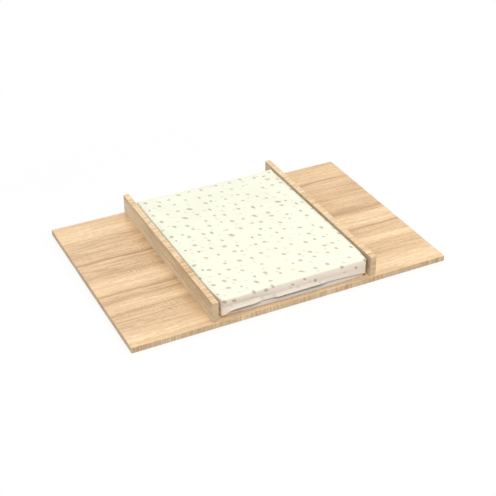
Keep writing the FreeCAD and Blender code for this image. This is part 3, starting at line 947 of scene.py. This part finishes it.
@dataclass(frozen=True)
class PadForm:
    """Padded form made of quads: a top grid, side walls with a hem line in them, and a bottom grid.

    The outline has round corners and sides that draw in between them.
    """

    low: Vector
    high: Vector
    corner: float = 0.016
    top_round: float = 0.007
    foot_round: float = 0.004
    draw: float = 0.002
    step: float = 0.0055
    hem_rises: Table = ((0.0, 0.003),)
    foot_shares: tuple[float, ...] = (0.5, 1.0)

    CLOTH_MAP = "cloth"
    BENDS = tuple(np.linspace(0.0, math.pi / 2, 5)[1:].tolist())
    WALL_SHARES = tuple(np.linspace(0.0, 1.0, 20)[1:].tolist())
    LEAST_FOOT = 0.0004

    @property
    def middle(self) -> np.ndarray:
        """Middle of the outline."""
        return np.array([(self.low.x + self.high.x) / 2, (self.low.y + self.high.y) / 2])

    @property
    def half(self) -> np.ndarray:
        """Half sizes of the outline."""
        return np.array([(self.high.x - self.low.x) / 2, (self.high.y - self.low.y) / 2])

    def lines(self, axis: int) -> np.ndarray:
        """Grid lines across one axis, as places on a square-cornered outline.

        Args:
            axis: 0 for X, 1 for Y.

        Returns:
            Places from one side to the other, in steps that end where the round corners begin.
        """
        flat = self.half[axis] - self.corner
        even = np.linspace(-flat, flat, max(2, round(2 * flat / self.step)) + 1)
        bend = np.linspace(flat, self.half[axis], max(3, round(self.corner / self.step)) + 1)[1:]
        return np.concatenate([-bend[::-1], even, bend])

    def plan(self, inset: float) -> tuple[np.ndarray, np.ndarray]:
        """Grid over the outline.

        Args:
            inset: How far the grid's rim lies inside the outline.

        Returns:
            Places of the grid's points and, for each, the outward direction from its corner's middle.
        """
        across, deep = np.meshgrid(self.lines(0), self.lines(1))
        square = np.stack([across, deep], -1)
        flat = self.half - self.corner
        past = np.clip((np.abs(square) - flat) / self.corner, 0.0, 1.0)
        bent = past * np.sqrt(1.0 - past[..., ::-1] ** 2 / 2.0)
        inner = np.sign(square) * np.minimum(np.abs(square), flat)
        outward = np.sign(square) * bent
        places = inner + outward * (self.corner - inset)
        length = np.linalg.norm(outward, axis=-1, keepdims=True)
        return places, outward / np.maximum(length, 1e-9)

    def rim(self, grid: np.ndarray) -> np.ndarray:
        """The grid's outer points in turn, from the front left corner along the front."""
        return np.concatenate([grid[0, :-1], grid[:-1, -1], grid[-1, :0:-1], grid[:0:-1, 0]])

    def drawn(self, places: np.ndarray) -> np.ndarray:
        """Draws the sides in between their corners and moves the form to its place."""
        share = 1.0 - (places[..., ::-1] / self.half[::-1]) ** 2
        return places * (1.0 - self.draw / self.half * share) + self.middle

    def flat_grid(self, places: np.ndarray, height: float) -> np.ndarray:
        """Points of a grid that lies at one height."""
        flat = self.drawn(places).reshape(-1, 2)
        return np.column_stack([flat, np.full(len(flat), height)])

    def hem_height(self, rim: np.ndarray, outward: np.ndarray) -> np.ndarray:
        """Height of the hem line at each column of the walls.

        Args:
            rim: Places of the columns.
            outward: Their outward directions.

        Returns:
            Heights, which follow the hem's rises along the front and its first rise elsewhere.
        """
        first = self.hem_rises[0][1]
        along = follow(self.hem_rises, rim[:, 0])
        return self.low.z + first + (along - first) * front_share(outward)

    def levels(self, hem: np.ndarray) -> list[tuple[float, np.ndarray]]:
        """Rows of the walls from the top down.

        Args:
            hem: Height of the hem at each column.

        Returns:
            For each row, how far it stands out from the top grid's rim, and its heights.
        """
        rows = []
        for angle in self.BENDS:
            drop = self.top_round * (1.0 - math.cos(angle))
            rows.append((self.top_round * math.sin(angle), np.full_like(hem, self.high.z - drop)))
        shoulder = self.high.z - self.top_round
        rows += [(self.top_round, shoulder + (hem - shoulder) * share) for share in self.WALL_SHARES]
        foot = np.minimum(hem - self.LEAST_FOOT, self.low.z + self.foot_round)
        rows += [(self.top_round, hem + (foot - hem) * share) for share in self.foot_shares]
        for angle in self.BENDS:
            out = self.top_round - self.foot_round * (1.0 - math.cos(angle))
            rows.append((out, foot + (self.low.z - foot) * math.sin(angle)))
        return rows

    @property
    def hem_row(self) -> int:
        """Number of the row that is the hem, with the top grid's rim as row 0."""
        return len(self.BENDS) + len(self.WALL_SHARES)

    def grid(self) -> "PadGrid":
        """Places every point of the form.

        Returns:
            The points, whose last row of walls is the bottom grid's rim.
        """
        top, outward = self.plan(self.top_round)
        bottom, _ = self.plan(self.foot_round)
        blocks = [self.flat_grid(top, self.high.z)]
        count = len(blocks[0])
        numbers = np.arange(count).reshape(top.shape[:2])
        rim, out_ways = self.rim(top), self.rim(outward)
        rows, drops = [self.rim(numbers)], [np.zeros(len(rim))]
        levels = self.levels(self.hem_height(rim, out_ways))
        last_out, last_height = 0.0, self.high.z
        for out, height in levels:
            drops.append(drops[-1] + np.hypot(out - last_out, height - last_height))
            last_out, last_height = out, height
        for out, height in levels[:-1]:
            blocks.append(np.column_stack([self.drawn(rim + out_ways * out), height]))
            rows.append(np.arange(len(rim)) + count)
            count += len(rim)
        blocks.append(self.flat_grid(bottom, self.low.z))
        rows.append(self.rim(numbers + count))
        return PadGrid(self, np.concatenate(blocks), rows, drops, rim, out_ways, numbers, numbers + count)


@dataclass
class PadGrid:
    """The points of a padded form, and how its faces and its cloth lie on them."""

    form: PadForm
    points: np.ndarray
    rows: list[np.ndarray]
    drops: list[np.ndarray]
    rim: np.ndarray
    outward: np.ndarray
    top: np.ndarray
    bottom: np.ndarray

    SIDE_WAYS = np.array([(1.0, 0.0), (0.0, 1.0), (-1.0, 0.0), (0.0, -1.0)])

    @property
    def cover_rows(self) -> list[np.ndarray]:
        """Rows of the walls below the top grid's rim, down to the hem."""
        return self.rows[1:self.form.hem_row + 1]

    def push(self, row: np.ndarray, out: np.ndarray) -> None:
        """Moves a row of the walls outwards."""
        self.points[row, :2] += self.outward * out[:, None]

    def flat_faces(self, numbers: np.ndarray) -> np.ndarray:
        """Faces of a grid of point numbers, facing up."""
        corners = [numbers[:-1, :-1], numbers[:-1, 1:], numbers[1:, 1:], numbers[1:, :-1]]
        return np.stack(corners, -1).reshape(-1, 4)

    def wall_cloth(self, upper: np.ndarray, lower: np.ndarray) -> np.ndarray:
        """Places on the flat cloth for one strip of wall faces, cut apart at the four corners.

        Args:
            upper: How far down the cloth the strip's upper row lies, at each column.
            lower: The same for its lower row.

        Returns:
            Places of each face's four corners.
        """
        deep, wide = (size - 1 for size in self.top.shape)
        side = np.repeat(np.arange(4), [wide, deep, wide, deep])
        outline = self.rim + self.outward * self.form.top_round
        lengths = np.linalg.norm(np.roll(outline, -1, 0) - outline, axis=1)
        run = np.concatenate([[0.0], np.cumsum(lengths)])
        starts = run[np.cumsum([0, wide, deep, wide])]
        ends = run[np.cumsum([wide, deep, wide, deep])]
        before = run[:-1] - (starts + ends)[side] / 2
        after = before + lengths
        inner = (self.form.half - self.form.top_round)[[1, 0, 1, 0]][side]
        ways = self.SIDE_WAYS[side]
        outs = np.stack([ways[:, 1], -ways[:, 0]], -1)
        corners = [(before, upper), (before, lower)]
        corners += [(after, np.roll(lower, -1)), (after, np.roll(upper, -1))]
        spread = [ways * step[:, None] + outs * (inner + drop)[:, None] for step, drop in corners]
        return np.stack(spread, 1)

    def faces(self, part: PadPart) -> tuple[np.ndarray, np.ndarray]:
        """Faces of the wanted stretch.

        Args:
            part: Which stretch.

        Returns:
            Four point numbers for each face, facing outwards, and their places on the flat cloth.
        """
        first, last = 0, len(self.rows) - 1
        faces = []
        if part is PadPart.BELOW_HEM:
            first = self.form.hem_row
        else:
            faces.append(self.flat_faces(self.top))
        if part is PadPart.ABOVE_HEM:
            last = self.form.hem_row
        else:
            faces.append(self.flat_faces(self.bottom)[:, ::-1])
        cloth = [self.points[group][..., :2] - self.form.middle for group in faces]
        for number in range(first, last):
            upper, lower = self.rows[number], self.rows[number + 1]
            faces.append(np.stack([upper, lower, np.roll(lower, -1), np.roll(upper, -1)], -1))
            cloth.append(self.wall_cloth(self.drops[number], self.drops[number + 1]))
        return np.concatenate(faces), np.concatenate(cloth)

    def build(self, name: str, part: PadPart) -> bpy.types.Object:
        """Makes the wanted stretch as a mesh with its cloth map.

        Args:
            name: The piece's name.
            part: Which stretch.

        Returns:
            The new object.
        """
        faces, cloth = self.faces(part)
        made = make_mesh(name, self.points, faces)
        map_cloth(made, cloth)
        return made

    def share_above_hem(self) -> np.ndarray:
        """How far each point is from the hem to the top.

        Returns:
            A share for each point, which is 0 below the hem.
        """
        share = np.zeros(len(self.points))
        share[self.top] = 1.0
        hem = self.points[self.rows[self.form.hem_row], 2]
        for row in self.cover_rows[:-1]:
            share[row] = (self.points[row, 2] - hem) / (self.form.high.z - hem)
        return share

    def ring_at(self, above_hem: float) -> np.ndarray:
        """Points round the walls at a height above the hem.

        Args:
            above_hem: The height.

        Returns:
            One point for each column.
        """
        walls = np.stack([self.points[row] for row in self.cover_rows[::-1]], 1)
        ring = [
            [np.interp(column[0, 2] + above_hem, column[:, 2], column[:, axis]) for axis in range(3)]
            for column in walls
        ]
        return np.array(ring)


def make_mesh(name: str, points: np.ndarray, faces: np.ndarray) -> bpy.types.Object:
    """Makes a smooth-shaded mesh object.

    Args:
        name: The piece's name.
        points: Its points.
        faces: Point numbers of its faces.

    Returns:
        The new object, with points that no face uses left out.
    """
    used, numbers = np.unique(faces, return_inverse=True)
    mesh = bpy.data.meshes.new(name)
    mesh.from_pydata(points[used].tolist(), [], numbers.reshape(faces.shape).tolist())
    mesh.shade_smooth()
    made = bpy.data.objects.new(name, mesh)
    bpy.context.scene.collection.objects.link(made)
    return made


def map_cloth(piece: bpy.types.Object, cloth: np.ndarray) -> None:
    """Stores where each face corner of a piece lies on the flat cloth."""
    layer = piece.data.uv_layers.new(name=PadForm.CLOTH_MAP)
    layer.data.foreach_set("uv", cloth.ravel().astype(np.float32))


def thicken(piece: bpy.types.Object, wall: float) -> None:
    """Gives a cloth its thickness, inwards.

    Args:
        piece: The cloth.
        wall: The thickness.
    """
    shell = piece.modifiers.new("cloth thickness", "SOLIDIFY")
    shell.thickness = wall
    shell.offset = -1.0


def read_points(owner: bpy.types.Object) -> np.ndarray:
    """Reads the points of an object's mesh.

    Args:
        owner: The object.

    Returns:
        One row for each point.
    """
    flat = np.empty(len(owner.data.vertices) * 3, np.float32)
    owner.data.vertices.foreach_get("co", flat)
    return flat.reshape(-1, 3).astype(float)


def along_ring(run: np.ndarray, values: np.ndarray, at: np.ndarray) -> np.ndarray:
    """Values round a closed ring, from their lengths along it, at the wanted lengths."""
    return np.stack([np.interp(at % run[-1], run, column) for column in values.T], -1)


@dataclass
class ChangingMat:
    """The padded mat: printed slip-on cover, elastic in its hem, plain base skin and foam pad.

    Tables that end in rises, flares, bulges and pinches run along the front: place on X, and length.
    """

    effects: Effects
    body: str = "mat"
    seat: float = 0.0193
    cover_wall: float = 0.0012
    skin_wall: float = 0.0008
    left_gap: float = 0.006
    back_gap: float = 0.003
    right_lift: float = 0.0012
    lift_start: float = 0.09
    lift_run: float = 0.08
    swell: float = 0.0016
    side_swell: float = 0.0006
    pressure: float = 4.0
    frames: int = 20
    foot_round: float = 0.0032
    corner_pulls: Table = ((-1.0, -1.0, 0.0085), (1.0, -1.0, 0.0055))
    pull_reach: tuple[float, float] = (0.06, 0.045)
    hem_rises: Table = (
        (-0.250, 0.003), (-0.243, 0.006), (-0.238, 0.0120), (-0.230, 0.0172), (-0.212, 0.0194),
        (-0.121, 0.0194), (-0.066, 0.0198), (0.020, 0.0204), (0.090, 0.0198), (0.180, 0.0155),
        (0.225, 0.0125), (0.252, 0.0100),
    )
    wall_rolls: Table = (
        (0.014, -0.0018, 0.0016), (0.020, -0.0022, 0.0020), (0.027, -0.0027, 0.0021),
        (0.0305, -0.0030, 0.0020), (0.033, -0.0026, 0.0022), (0.036, -0.0014, 0.0026),
        (0.040, 0.0002, 0.0029), (0.044, 0.0012, 0.0028), (0.048, 0.0018, 0.0024),
        (0.052, 0.0018, 0.0018), (0.058, 0.0011, 0.0005), (0.064, -0.0002, -0.0012),
    )
    left_roll_ends: tuple[float, float] = (-0.13, -0.07)
    side_roll: float = 0.4
    corner_ease: float = 0.8
    hem_flares: Table = (
        (-0.250, 0.0), (-0.232, 0.0066), (-0.135, 0.0066), (-0.114, 0.0012), (-0.074, 0.0012),
        (-0.058, 0.0042), (0.085, 0.0036), (0.115, 0.0002), (0.250, 0.0),
    )
    hem_reach: float = 0.0125
    gather_waves: Table = ((0.031, 1.0, 0.0), (0.0475, 0.6, 1.1))
    gathers: float = 0.0002
    corner_gathers: float = 0.0003
    lip: float = 0.0005
    lip_height: float = 0.003
    corner_tuck: float = 0.0014
    tuck_height: float = 0.006
    foot_bulges: Table = (
        (-0.245, 0.0), (-0.230, 0.0002), (-0.200, 0.001), (-0.165, 0.004), (-0.112, 0.007),
        (0.120, 0.0095), (0.190, 0.0075), (0.245, 0.0045),
    )
    foot_pinches: Table = (
        (-0.250, 0.002), (-0.240, 0.003), (-0.226, 0.012), (-0.212, 0.019), (-0.135, 0.018),
        (-0.114, 0.003), (-0.074, 0.003), (-0.058, 0.016), (0.085, 0.015), (0.115, 0.002),
        (0.250, 0.002),
    )
    groove_drop: float = 0.001
    groove_sink: float = 0.25
    groove_width: float = 0.003
    groove_spread: float = 0.2
    hidden_height: float = 0.006
    hidden_draw: float = 0.002
    hidden_front_draw: float = 0.006
    skin_headroom: float = 0.02
    elastic_height: float = 0.005
    elastic_gap: float = 0.0007
    elastic_half: tuple[float, float] = (0.0003, 0.003)
    stitch_height: float = 0.0085
    stitch_pitch: float = 0.0044
    thread_girths: Table = ((-0.0015, 0.00006), (-0.0009, 0.0002), (0.0009, 0.0002), (0.0015, 0.00006))
    thread_lift: float = 0.00004

    SKIN_SHARES = tuple(np.linspace(0.06, 1.0, 18).tolist())
    THREAD_SIDES = 6
    THREAD_CAPS = ((0, 1, 2, 3), (0, 3, 4, 5), (18, 23, 22, 21), (18, 21, 20, 19))

    def build(self) -> None:
        """Builds and dresses every piece of the mat."""
        cover = self.swollen_grid()
        self.crease_walls(cover)
        self.shape_hem(cover)
        self.pull_corners(cover)
        self.make_foam()
        self.make_skin()
        self.make_elastic(cover)
        stitches = self.make_stitches(cover)
        self.make_cover(cover)

    def settle_in(self, piece: bpy.types.Object, material: bpy.types.Material) -> None:
        """Gives a piece its material and the body that it rides on.

        Args:
            piece: The piece.
            material: Its material.
        """
        piece.data.materials.append(material)
        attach(piece, self.body)
        LOG.info("built %s on %s", piece.name, self.body)

    def space(self, node: str) -> tuple[Vector, Vector]:
        """The space of a packed soft solid, less the gaps that show at the left and the back."""
        low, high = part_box(node)
        return low + Vector((self.left_gap, 0.0, 0.0)), high - Vector((0.0, self.back_gap, 0.0))

    def swollen_grid(self) -> PadGrid:
        """The cover's closed form after it has swollen under pressure from inside.

        Returns: The form's points.
        """
        low, high = self.space("mat_cover")
        low.z = self.seat
        high.z -= self.swell
        form = PadForm(low, high, corner=0.0045, top_round=0.004, draw=0.0002, hem_rises=self.hem_rises)
        grid = form.grid()
        self.inflate(grid)
        rightness = np.clip((grid.points[:, 0] - high.x + self.lift_start) / self.lift_run, 0.0, 1.0)
        grid.points[:, 2] += self.right_lift * rightness**2 * grid.share_above_hem()
        return grid

    def inflate(self, grid: PadGrid) -> None:
        """Runs the cloth simulation, and lets no point move past its cap.

        Args:
            grid: The form, whose points are moved.
        """
        faces, _ = grid.faces(PadPart.WHOLE)
        pad = make_mesh("swelling_pad", grid.points, faces)
        held = pad.vertex_groups.new(name="held")
        foot = grid.rows[grid.form.hem_row + len(grid.form.foot_shares)].min()
        held.add(list(range(int(foot), len(grid.points))), 1.0, "ADD")
        cloth = pad.modifiers.new("swell", "CLOTH").settings
        cloth.vertex_group_mass = held.name
        cloth.use_pressure = True
        cloth.uniform_pressure_force = self.pressure
        cloth.effector_weights.gravity = 0.0
        scene = bpy.context.scene
        for step in range(1, self.frames + 1):
            scene.frame_set(step)
        settled = pad.evaluated_get(bpy.context.evaluated_depsgraph_get())
        moved = read_points(settled) - grid.points
        scene.frame_set(1)
        bpy.data.objects.remove(pad)
        grid.points[:, 2] += self.swell * np.tanh(moved[:, 2] / self.swell) * grid.share_above_hem()
        for row in grid.cover_rows:
            out = np.clip(np.sum(moved[row, :2] * grid.outward, axis=1), 0.0, None)
            grid.push(row, self.side_swell * np.tanh(out / self.side_swell))

    def crease_walls(self, cover: PadGrid) -> None:
        """Rolls the walls: full near the top and drawn in above the elastic, most along the front.

        Args:
            cover: The cover's points, which are moved.
        """
        heights, left, right = np.array(self.wall_rolls).T
        front = front_share(cover.outward)
        leftness = np.interp(cover.rim[:, 0], self.left_roll_ends, (1.0, 0.0)) * front
        share = self.side_roll + (1.0 - self.side_roll) * front
        share = share * (1.0 - self.corner_ease * round_share(cover.outward))
        for row in cover.cover_rows:
            up = cover.points[row, 2] - self.seat
            out = np.interp(up, heights, right)
            out += (np.interp(up, heights, left) - out) * leftness
            cover.push(row, out * share)

    def shape_hem(self, cover: PadGrid) -> None:
        """Stands the hem off the pad along the front, gathers it and thickens its lip.

        Args:
            cover: The cover's points, which are moved.
        """
        corner = np.prod(np.abs(cover.rim) / (cover.form.half - cover.form.top_round), axis=1) ** 6
        run = np.cumsum(np.linalg.norm(cover.rim - np.roll(cover.rim, 1, 0), axis=1))
        ripple = sum(part * np.sin(run * math.tau / wave + turn) for wave, part, turn in self.gather_waves)
        flare = follow(self.hem_flares, cover.rim[:, 0]) * front_share(cover.outward)
        flare += ripple * (self.gathers + self.corner_gathers * corner)
        tuck = self.corner_tuck * round_share(cover.outward) ** 3
        hem = cover.points[cover.rows[cover.form.hem_row], 2].copy()
        for row in cover.cover_rows:
            above = cover.points[row, 2] - hem
            reach = np.clip(1.0 - above / self.hem_reach, 0.0, 1.0) ** 1.4
            lip = self.lip * np.exp(-((above / self.lip_height) ** 2))
            seam = tuck * np.clip(above / self.tuck_height, 0.0, 1.0)
            cover.push(row, flare * reach + lip - seam)

    def pull_corners(self, grid: PadGrid) -> None:
        """Pulls the mat in from the cheeks at its corners.

        Args:
            grid: The points, which are moved.
        """
        for across, deep, reach in self.corner_pulls:
            place = grid.form.middle + grid.form.half * (across, deep)
            away = (grid.points[:, :2] - place) / self.pull_reach
            grid.points[:, 0] -= across * reach * np.exp(-np.sum(away**2, axis=1))

    def make_cover(self, cover: PadGrid) -> None:
        """Makes the printed cover.

        Args:
            cover: Its points.
        """
        piece = cover.build("mat_slip_cover", PadPart.ABOVE_HEM)
        thicken(piece, self.cover_wall)
        finish = ClothFinish(
            IVORY, IVORY_SHADE, layers=PRINT_LAYERS, painted_light_pale=PAINTED_LIGHT_IVORY, painted_light_shaded=PAINTED_LIGHT_IVORY_SHADE
        )
        self.settle_in(piece, finish.material("printed_cotton", self.effects))
        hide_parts("mat_cover")

    def make_skin(self) -> None:
        """Makes the plain skin that is fixed round the foam's foot."""
        low, high = self.space("mat_base_panel")
        tall = high.z - low.z
        form = PadForm(
            low,
            high + Vector((0.0, 0.0, self.skin_headroom)),
            foot_round=self.foot_round,
            hem_rises=((0.0, tall),),
            foot_shares=self.SKIN_SHARES,
        )
        grid = form.grid()
        self.squeeze_foot(grid, form.hem_row + 1)
        self.pull_corners(grid)
        piece = grid.build("mat_base_skin", PadPart.BELOW_HEM)
        thicken(piece, self.skin_wall)
        finish = ClothFinish(srgb(226, 217, 206), srgb(217, 208, 196), pitch=0.0012)
        self.settle_in(piece, finish.material("plain_cotton", self.effects))
        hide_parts("mat_base_panel")

    def squeeze_foot(self, grid: PadGrid, first_row: int) -> None:
        """Pinches the front under the elastic hem and swells it out below.

        Args:
            grid: The points, which are moved.
            first_row: The uppermost row of the walls that gives way.
        """
        across, front = grid.rim[:, 0], front_share(grid.outward)
        bulge = follow(self.foot_bulges, across) * front
        pinch = follow(self.foot_pinches, across) * front
        rise = follow(self.hem_rises, across)
        for row in grid.rows[first_row:-1]:
            height = grid.points[row, 2] - self.seat
            share = np.clip(height / rise, 0.0, 1.0)
            below = height - rise + self.groove_drop + self.groove_sink * pinch
            groove = np.exp(-((below / (self.groove_width + self.groove_spread * pinch)) ** 2))
            above = np.clip((height - rise) / self.hidden_height, 0.0, 1.0)
            hidden = (self.hidden_draw + self.hidden_front_draw * front) * above
            grid.push(row, bulge * (1.0 - share**3) - np.maximum(pinch * groove, hidden))

    def make_foam(self) -> None:
        """Makes the foam pad."""
        low, high = self.space("mat_foam_core")
        high.z -= self.swell
        grid = PadForm(low, high, foot_round=self.foot_round, step=0.011, top_round=0.014).grid()
        self.squeeze_foot(grid, len(PadForm.BENDS))
        self.pull_corners(grid)
        piece = grid.build("mat_foam_pad", PadPart.WHOLE)
        self.settle_in(piece, FoamFinish().material("cut_foam"))
        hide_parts("mat_foam_core")

    def make_elastic(self, cover: PadGrid) -> None:
        """Makes the elastic that runs in the hem.

        Args:
            cover: The cover's points.
        """
        middle = cover.ring_at(self.elastic_height)
        middle[:, :2] -= cover.outward * (self.cover_wall + self.elastic_gap)
        count = len(middle)
        thick, tall = self.elastic_half
        section = ((-thick, -tall), (thick, -tall), (thick, tall), (-thick, tall))
        loops = [middle + np.column_stack([cover.outward * out, np.full(count, up)]) for out, up in section]
        numbers = np.arange(count * len(section)).reshape(len(section), count)
        ahead = np.roll(numbers, -1, 1)
        corners = [numbers, ahead, np.roll(ahead, -1, 0), np.roll(numbers, -1, 0)]
        faces = np.stack(corners, -1).reshape(-1, 4)
        piece = make_mesh("mat_hem_band", np.concatenate(loops), faces)
        step = cover.form.step
        run, turn = np.meshgrid(np.arange(count) * step, np.arange(len(section)) * tall)
        ways = ((0, 0), (1, 0), (1, 1), (0, 1))
        cloth = [np.stack([run + step * on, turn + tall * up], -1) for on, up in ways]
        map_cloth(piece, np.stack(cloth, 2))
        finish = ClothFinish(srgb(236, 235, 230), srgb(214, 213, 207), pitch=0.0006, relief=0.0003)
        self.settle_in(piece, finish.material("knitted_elastic", self.effects))
        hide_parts("mat_hem_elastic")

    def make_stitches(self, cover: PadGrid) -> bpy.types.Object:
        """Makes the row of stitches that closes the hem.

        Args:
            cover: The cover's points.

        Returns:
            The stitches.
        """
        ring = cover.ring_at(self.stitch_height)
        closed = np.concatenate([ring, ring[:1]])
        run = np.concatenate([[0.0], np.cumsum(np.linalg.norm(np.diff(closed, axis=0), axis=1))])
        count = round(run[-1] / self.stitch_pitch)
        at = (np.arange(count) + 0.5) * run[-1] / count
        outs = np.concatenate([cover.outward, cover.outward[:1]])
        out = np.column_stack([along_ring(run, outs, at), np.zeros(count)])
        up = np.array([0.0, 0.0, 1.0])
        sides = self.THREAD_SIDES
        rings = []
        for shift, girth in self.thread_girths:
            middle = along_ring(run, closed, at + shift)
            for step in range(sides):
                angle = math.tau * step / sides
                offset = out * (math.cos(angle) * girth + self.thread_lift) + up * math.sin(angle) * girth
                rings.append(middle + offset)
        first = np.arange(sides)
        after = np.roll(first, -1)
        strip = np.stack([first, first + sides, after + sides, after], -1)
        one = [strip + sides * number for number in range(len(self.thread_girths) - 1)]
        one = np.concatenate([*one, self.THREAD_CAPS])
        faces = (np.arange(count)[:, None, None] * len(rings) + one).reshape(-1, 4)
        piece = make_mesh("mat_hem_stitches", np.stack(rings, 1).reshape(-1, 3), faces)
        self.settle_in(piece, ThreadFinish().material("sewing_thread"))
        return piece


@dataclass(frozen=True)
class Softbox:
    """A wide soft lamp that points at the part."""

    name: str
    place: tuple[float, float, float]
    size: float
    watts: float

    def build(self) -> None:
        """Hangs the lamp."""
        lamp = bpy.data.lights.new(self.name, "AREA")
        lamp.shape = "DISK"
        lamp.size = self.size
        lamp.energy = self.watts
        made = bpy.data.objects.new(self.name, lamp)
        made.location = self.place
        made.rotation_euler = Vector(self.place).to_track_quat("Z", "Y").to_euler()
        bpy.context.scene.collection.objects.link(made)


@dataclass(frozen=True)
class Studio:
    """Pale floor, even white surround, soft lamps and the camera."""

    floor_half: float = 9.0
    floor_drop: float = 0.0006
    floor_white: Colour = srgb(247, 247, 246)
    floor_bounce: Colour = srgb(190, 190, 189)
    plain_share: float = 0.82
    fades: tuple[float, float] = (0.6, 1.6)
    ambient: float = 0.5
    lamps: tuple[Softbox, ...] = (
        Softbox("top", (0.55, 0.55, 2.9), 1.6, 2.2),
        Softbox("left", (-2.457, 0.0, 1.721), 1.8, 17.8),
        Softbox("right", (2.457, 0.0, 1.721), 1.8, 19.5),
        Softbox("front", (0.0, -1.928, 2.298), 1.8, 33.5),
        Softbox("back", (0.0, 2.457, 1.721), 1.8, 15.0),
    )
    eye: tuple[float, float, float] = (-1.3585, -2.7240, 1.9418)
    turn_degrees: tuple[float, float, float] = (57.436, 0.0, -26.733)
    lens: float = 79.62
    sensor: float = 36.0

    def build(self) -> None:
        """Sets up the whole studio."""
        self.make_floor()
        self.make_world()
        for lamp in self.lamps:
            lamp.build()
        self.make_camera()
        bpy.context.scene.view_settings.view_transform = "Standard"

    def seen_directly(self, wiring: Wiring) -> Socket:
        """Tells what the camera sees, straight or in a mirror or glass, from light on the part.

        Args:
            wiring: The material's or the world's wiring.

        Returns:
            1 for what is seen, and 0 for light.
        """
        path = wiring.node("ShaderNodeLightPath").outputs
        seen = wiring.math("MAXIMUM", path["Is Camera Ray"], path["Is Glossy Ray"])
        return wiring.math("MAXIMUM", seen, path["Is Transmission Ray"])

    def make_floor(self) -> None:
        """Lays the floor, which keeps the part's shadow."""
        reach = self.floor_half
        corners = np.array([(-reach, -reach), (reach, -reach), (reach, reach), (-reach, reach)])
        points = np.column_stack([corners, np.full(len(corners), -self.floor_drop)])
        floor = make_mesh("studio_floor", points, np.arange(len(corners)).reshape(1, -1))
        made, wiring, shader = new_material("studio_floor")
        tone = wiring.tint(self.seen_directly(wiring), self.floor_bounce, self.floor_white)
        wiring.fill(shader, {"Base Color": tone, "Roughness": 0.9, "Specular IOR Level": 0.1})
        white = wiring.node("ShaderNodeEmission", {"Strength": 1.0})
        plain = wiring.span(wiring.length(object_place(wiring)), *self.fades, self.plain_share, 1.0)
        share = wiring.math("MULTIPLY", self.seen_directly(wiring), plain)
        mixed = wiring.node("ShaderNodeMixShader", {0: share, 1: shader.outputs[0], 2: white.outputs[0]})
        wiring.feed(made.node_tree.nodes["Material Output"].inputs["Surface"], mixed.outputs[0])
        floor.data.materials.append(made)

    def make_world(self) -> None:
        """Gives an even surround: white where it is seen, and dimmer as light."""
        world = bpy.data.worlds.new("studio")
        world.use_nodes = True
        wiring = Wiring(world.node_tree)
        background = world.node_tree.nodes["Background"]
        background.inputs["Color"].default_value = (1.0, 1.0, 1.0, 1.0)
        strength = wiring.span(self.seen_directly(wiring), 0.0, 1.0, self.ambient, 1.0)
        wiring.feed(background.inputs["Strength"], strength)
        bpy.context.scene.world = world

    def make_camera(self) -> None:
        """Sets the camera where the photographer stood."""
        data = bpy.data.cameras.new("camera")
        data.lens = self.lens
        data.sensor_width = self.sensor
        made = bpy.data.objects.new("camera", data)
        made.location = self.eye
        made.rotation_euler = [math.radians(angle) for angle in self.turn_degrees]
        bpy.context.scene.collection.objects.link(made)
        bpy.context.scene.camera = made


def main() -> None:
    """Builds the studio and dresses every sub-assembly in order."""
    logging.basicConfig(level=logging.INFO, format="%(message)s")
    effects = Effects.build()
    Studio().build()
    BaseBoard(effects).dress()
    Cheek(effects, "left", inner_way=1.0, seed=11.0).dress()
    Cheek(effects, "right", inner_way=-1.0, seed=28.0).dress()
    ChangingMat(effects).build()


if __name__ == "__main__":
    main()
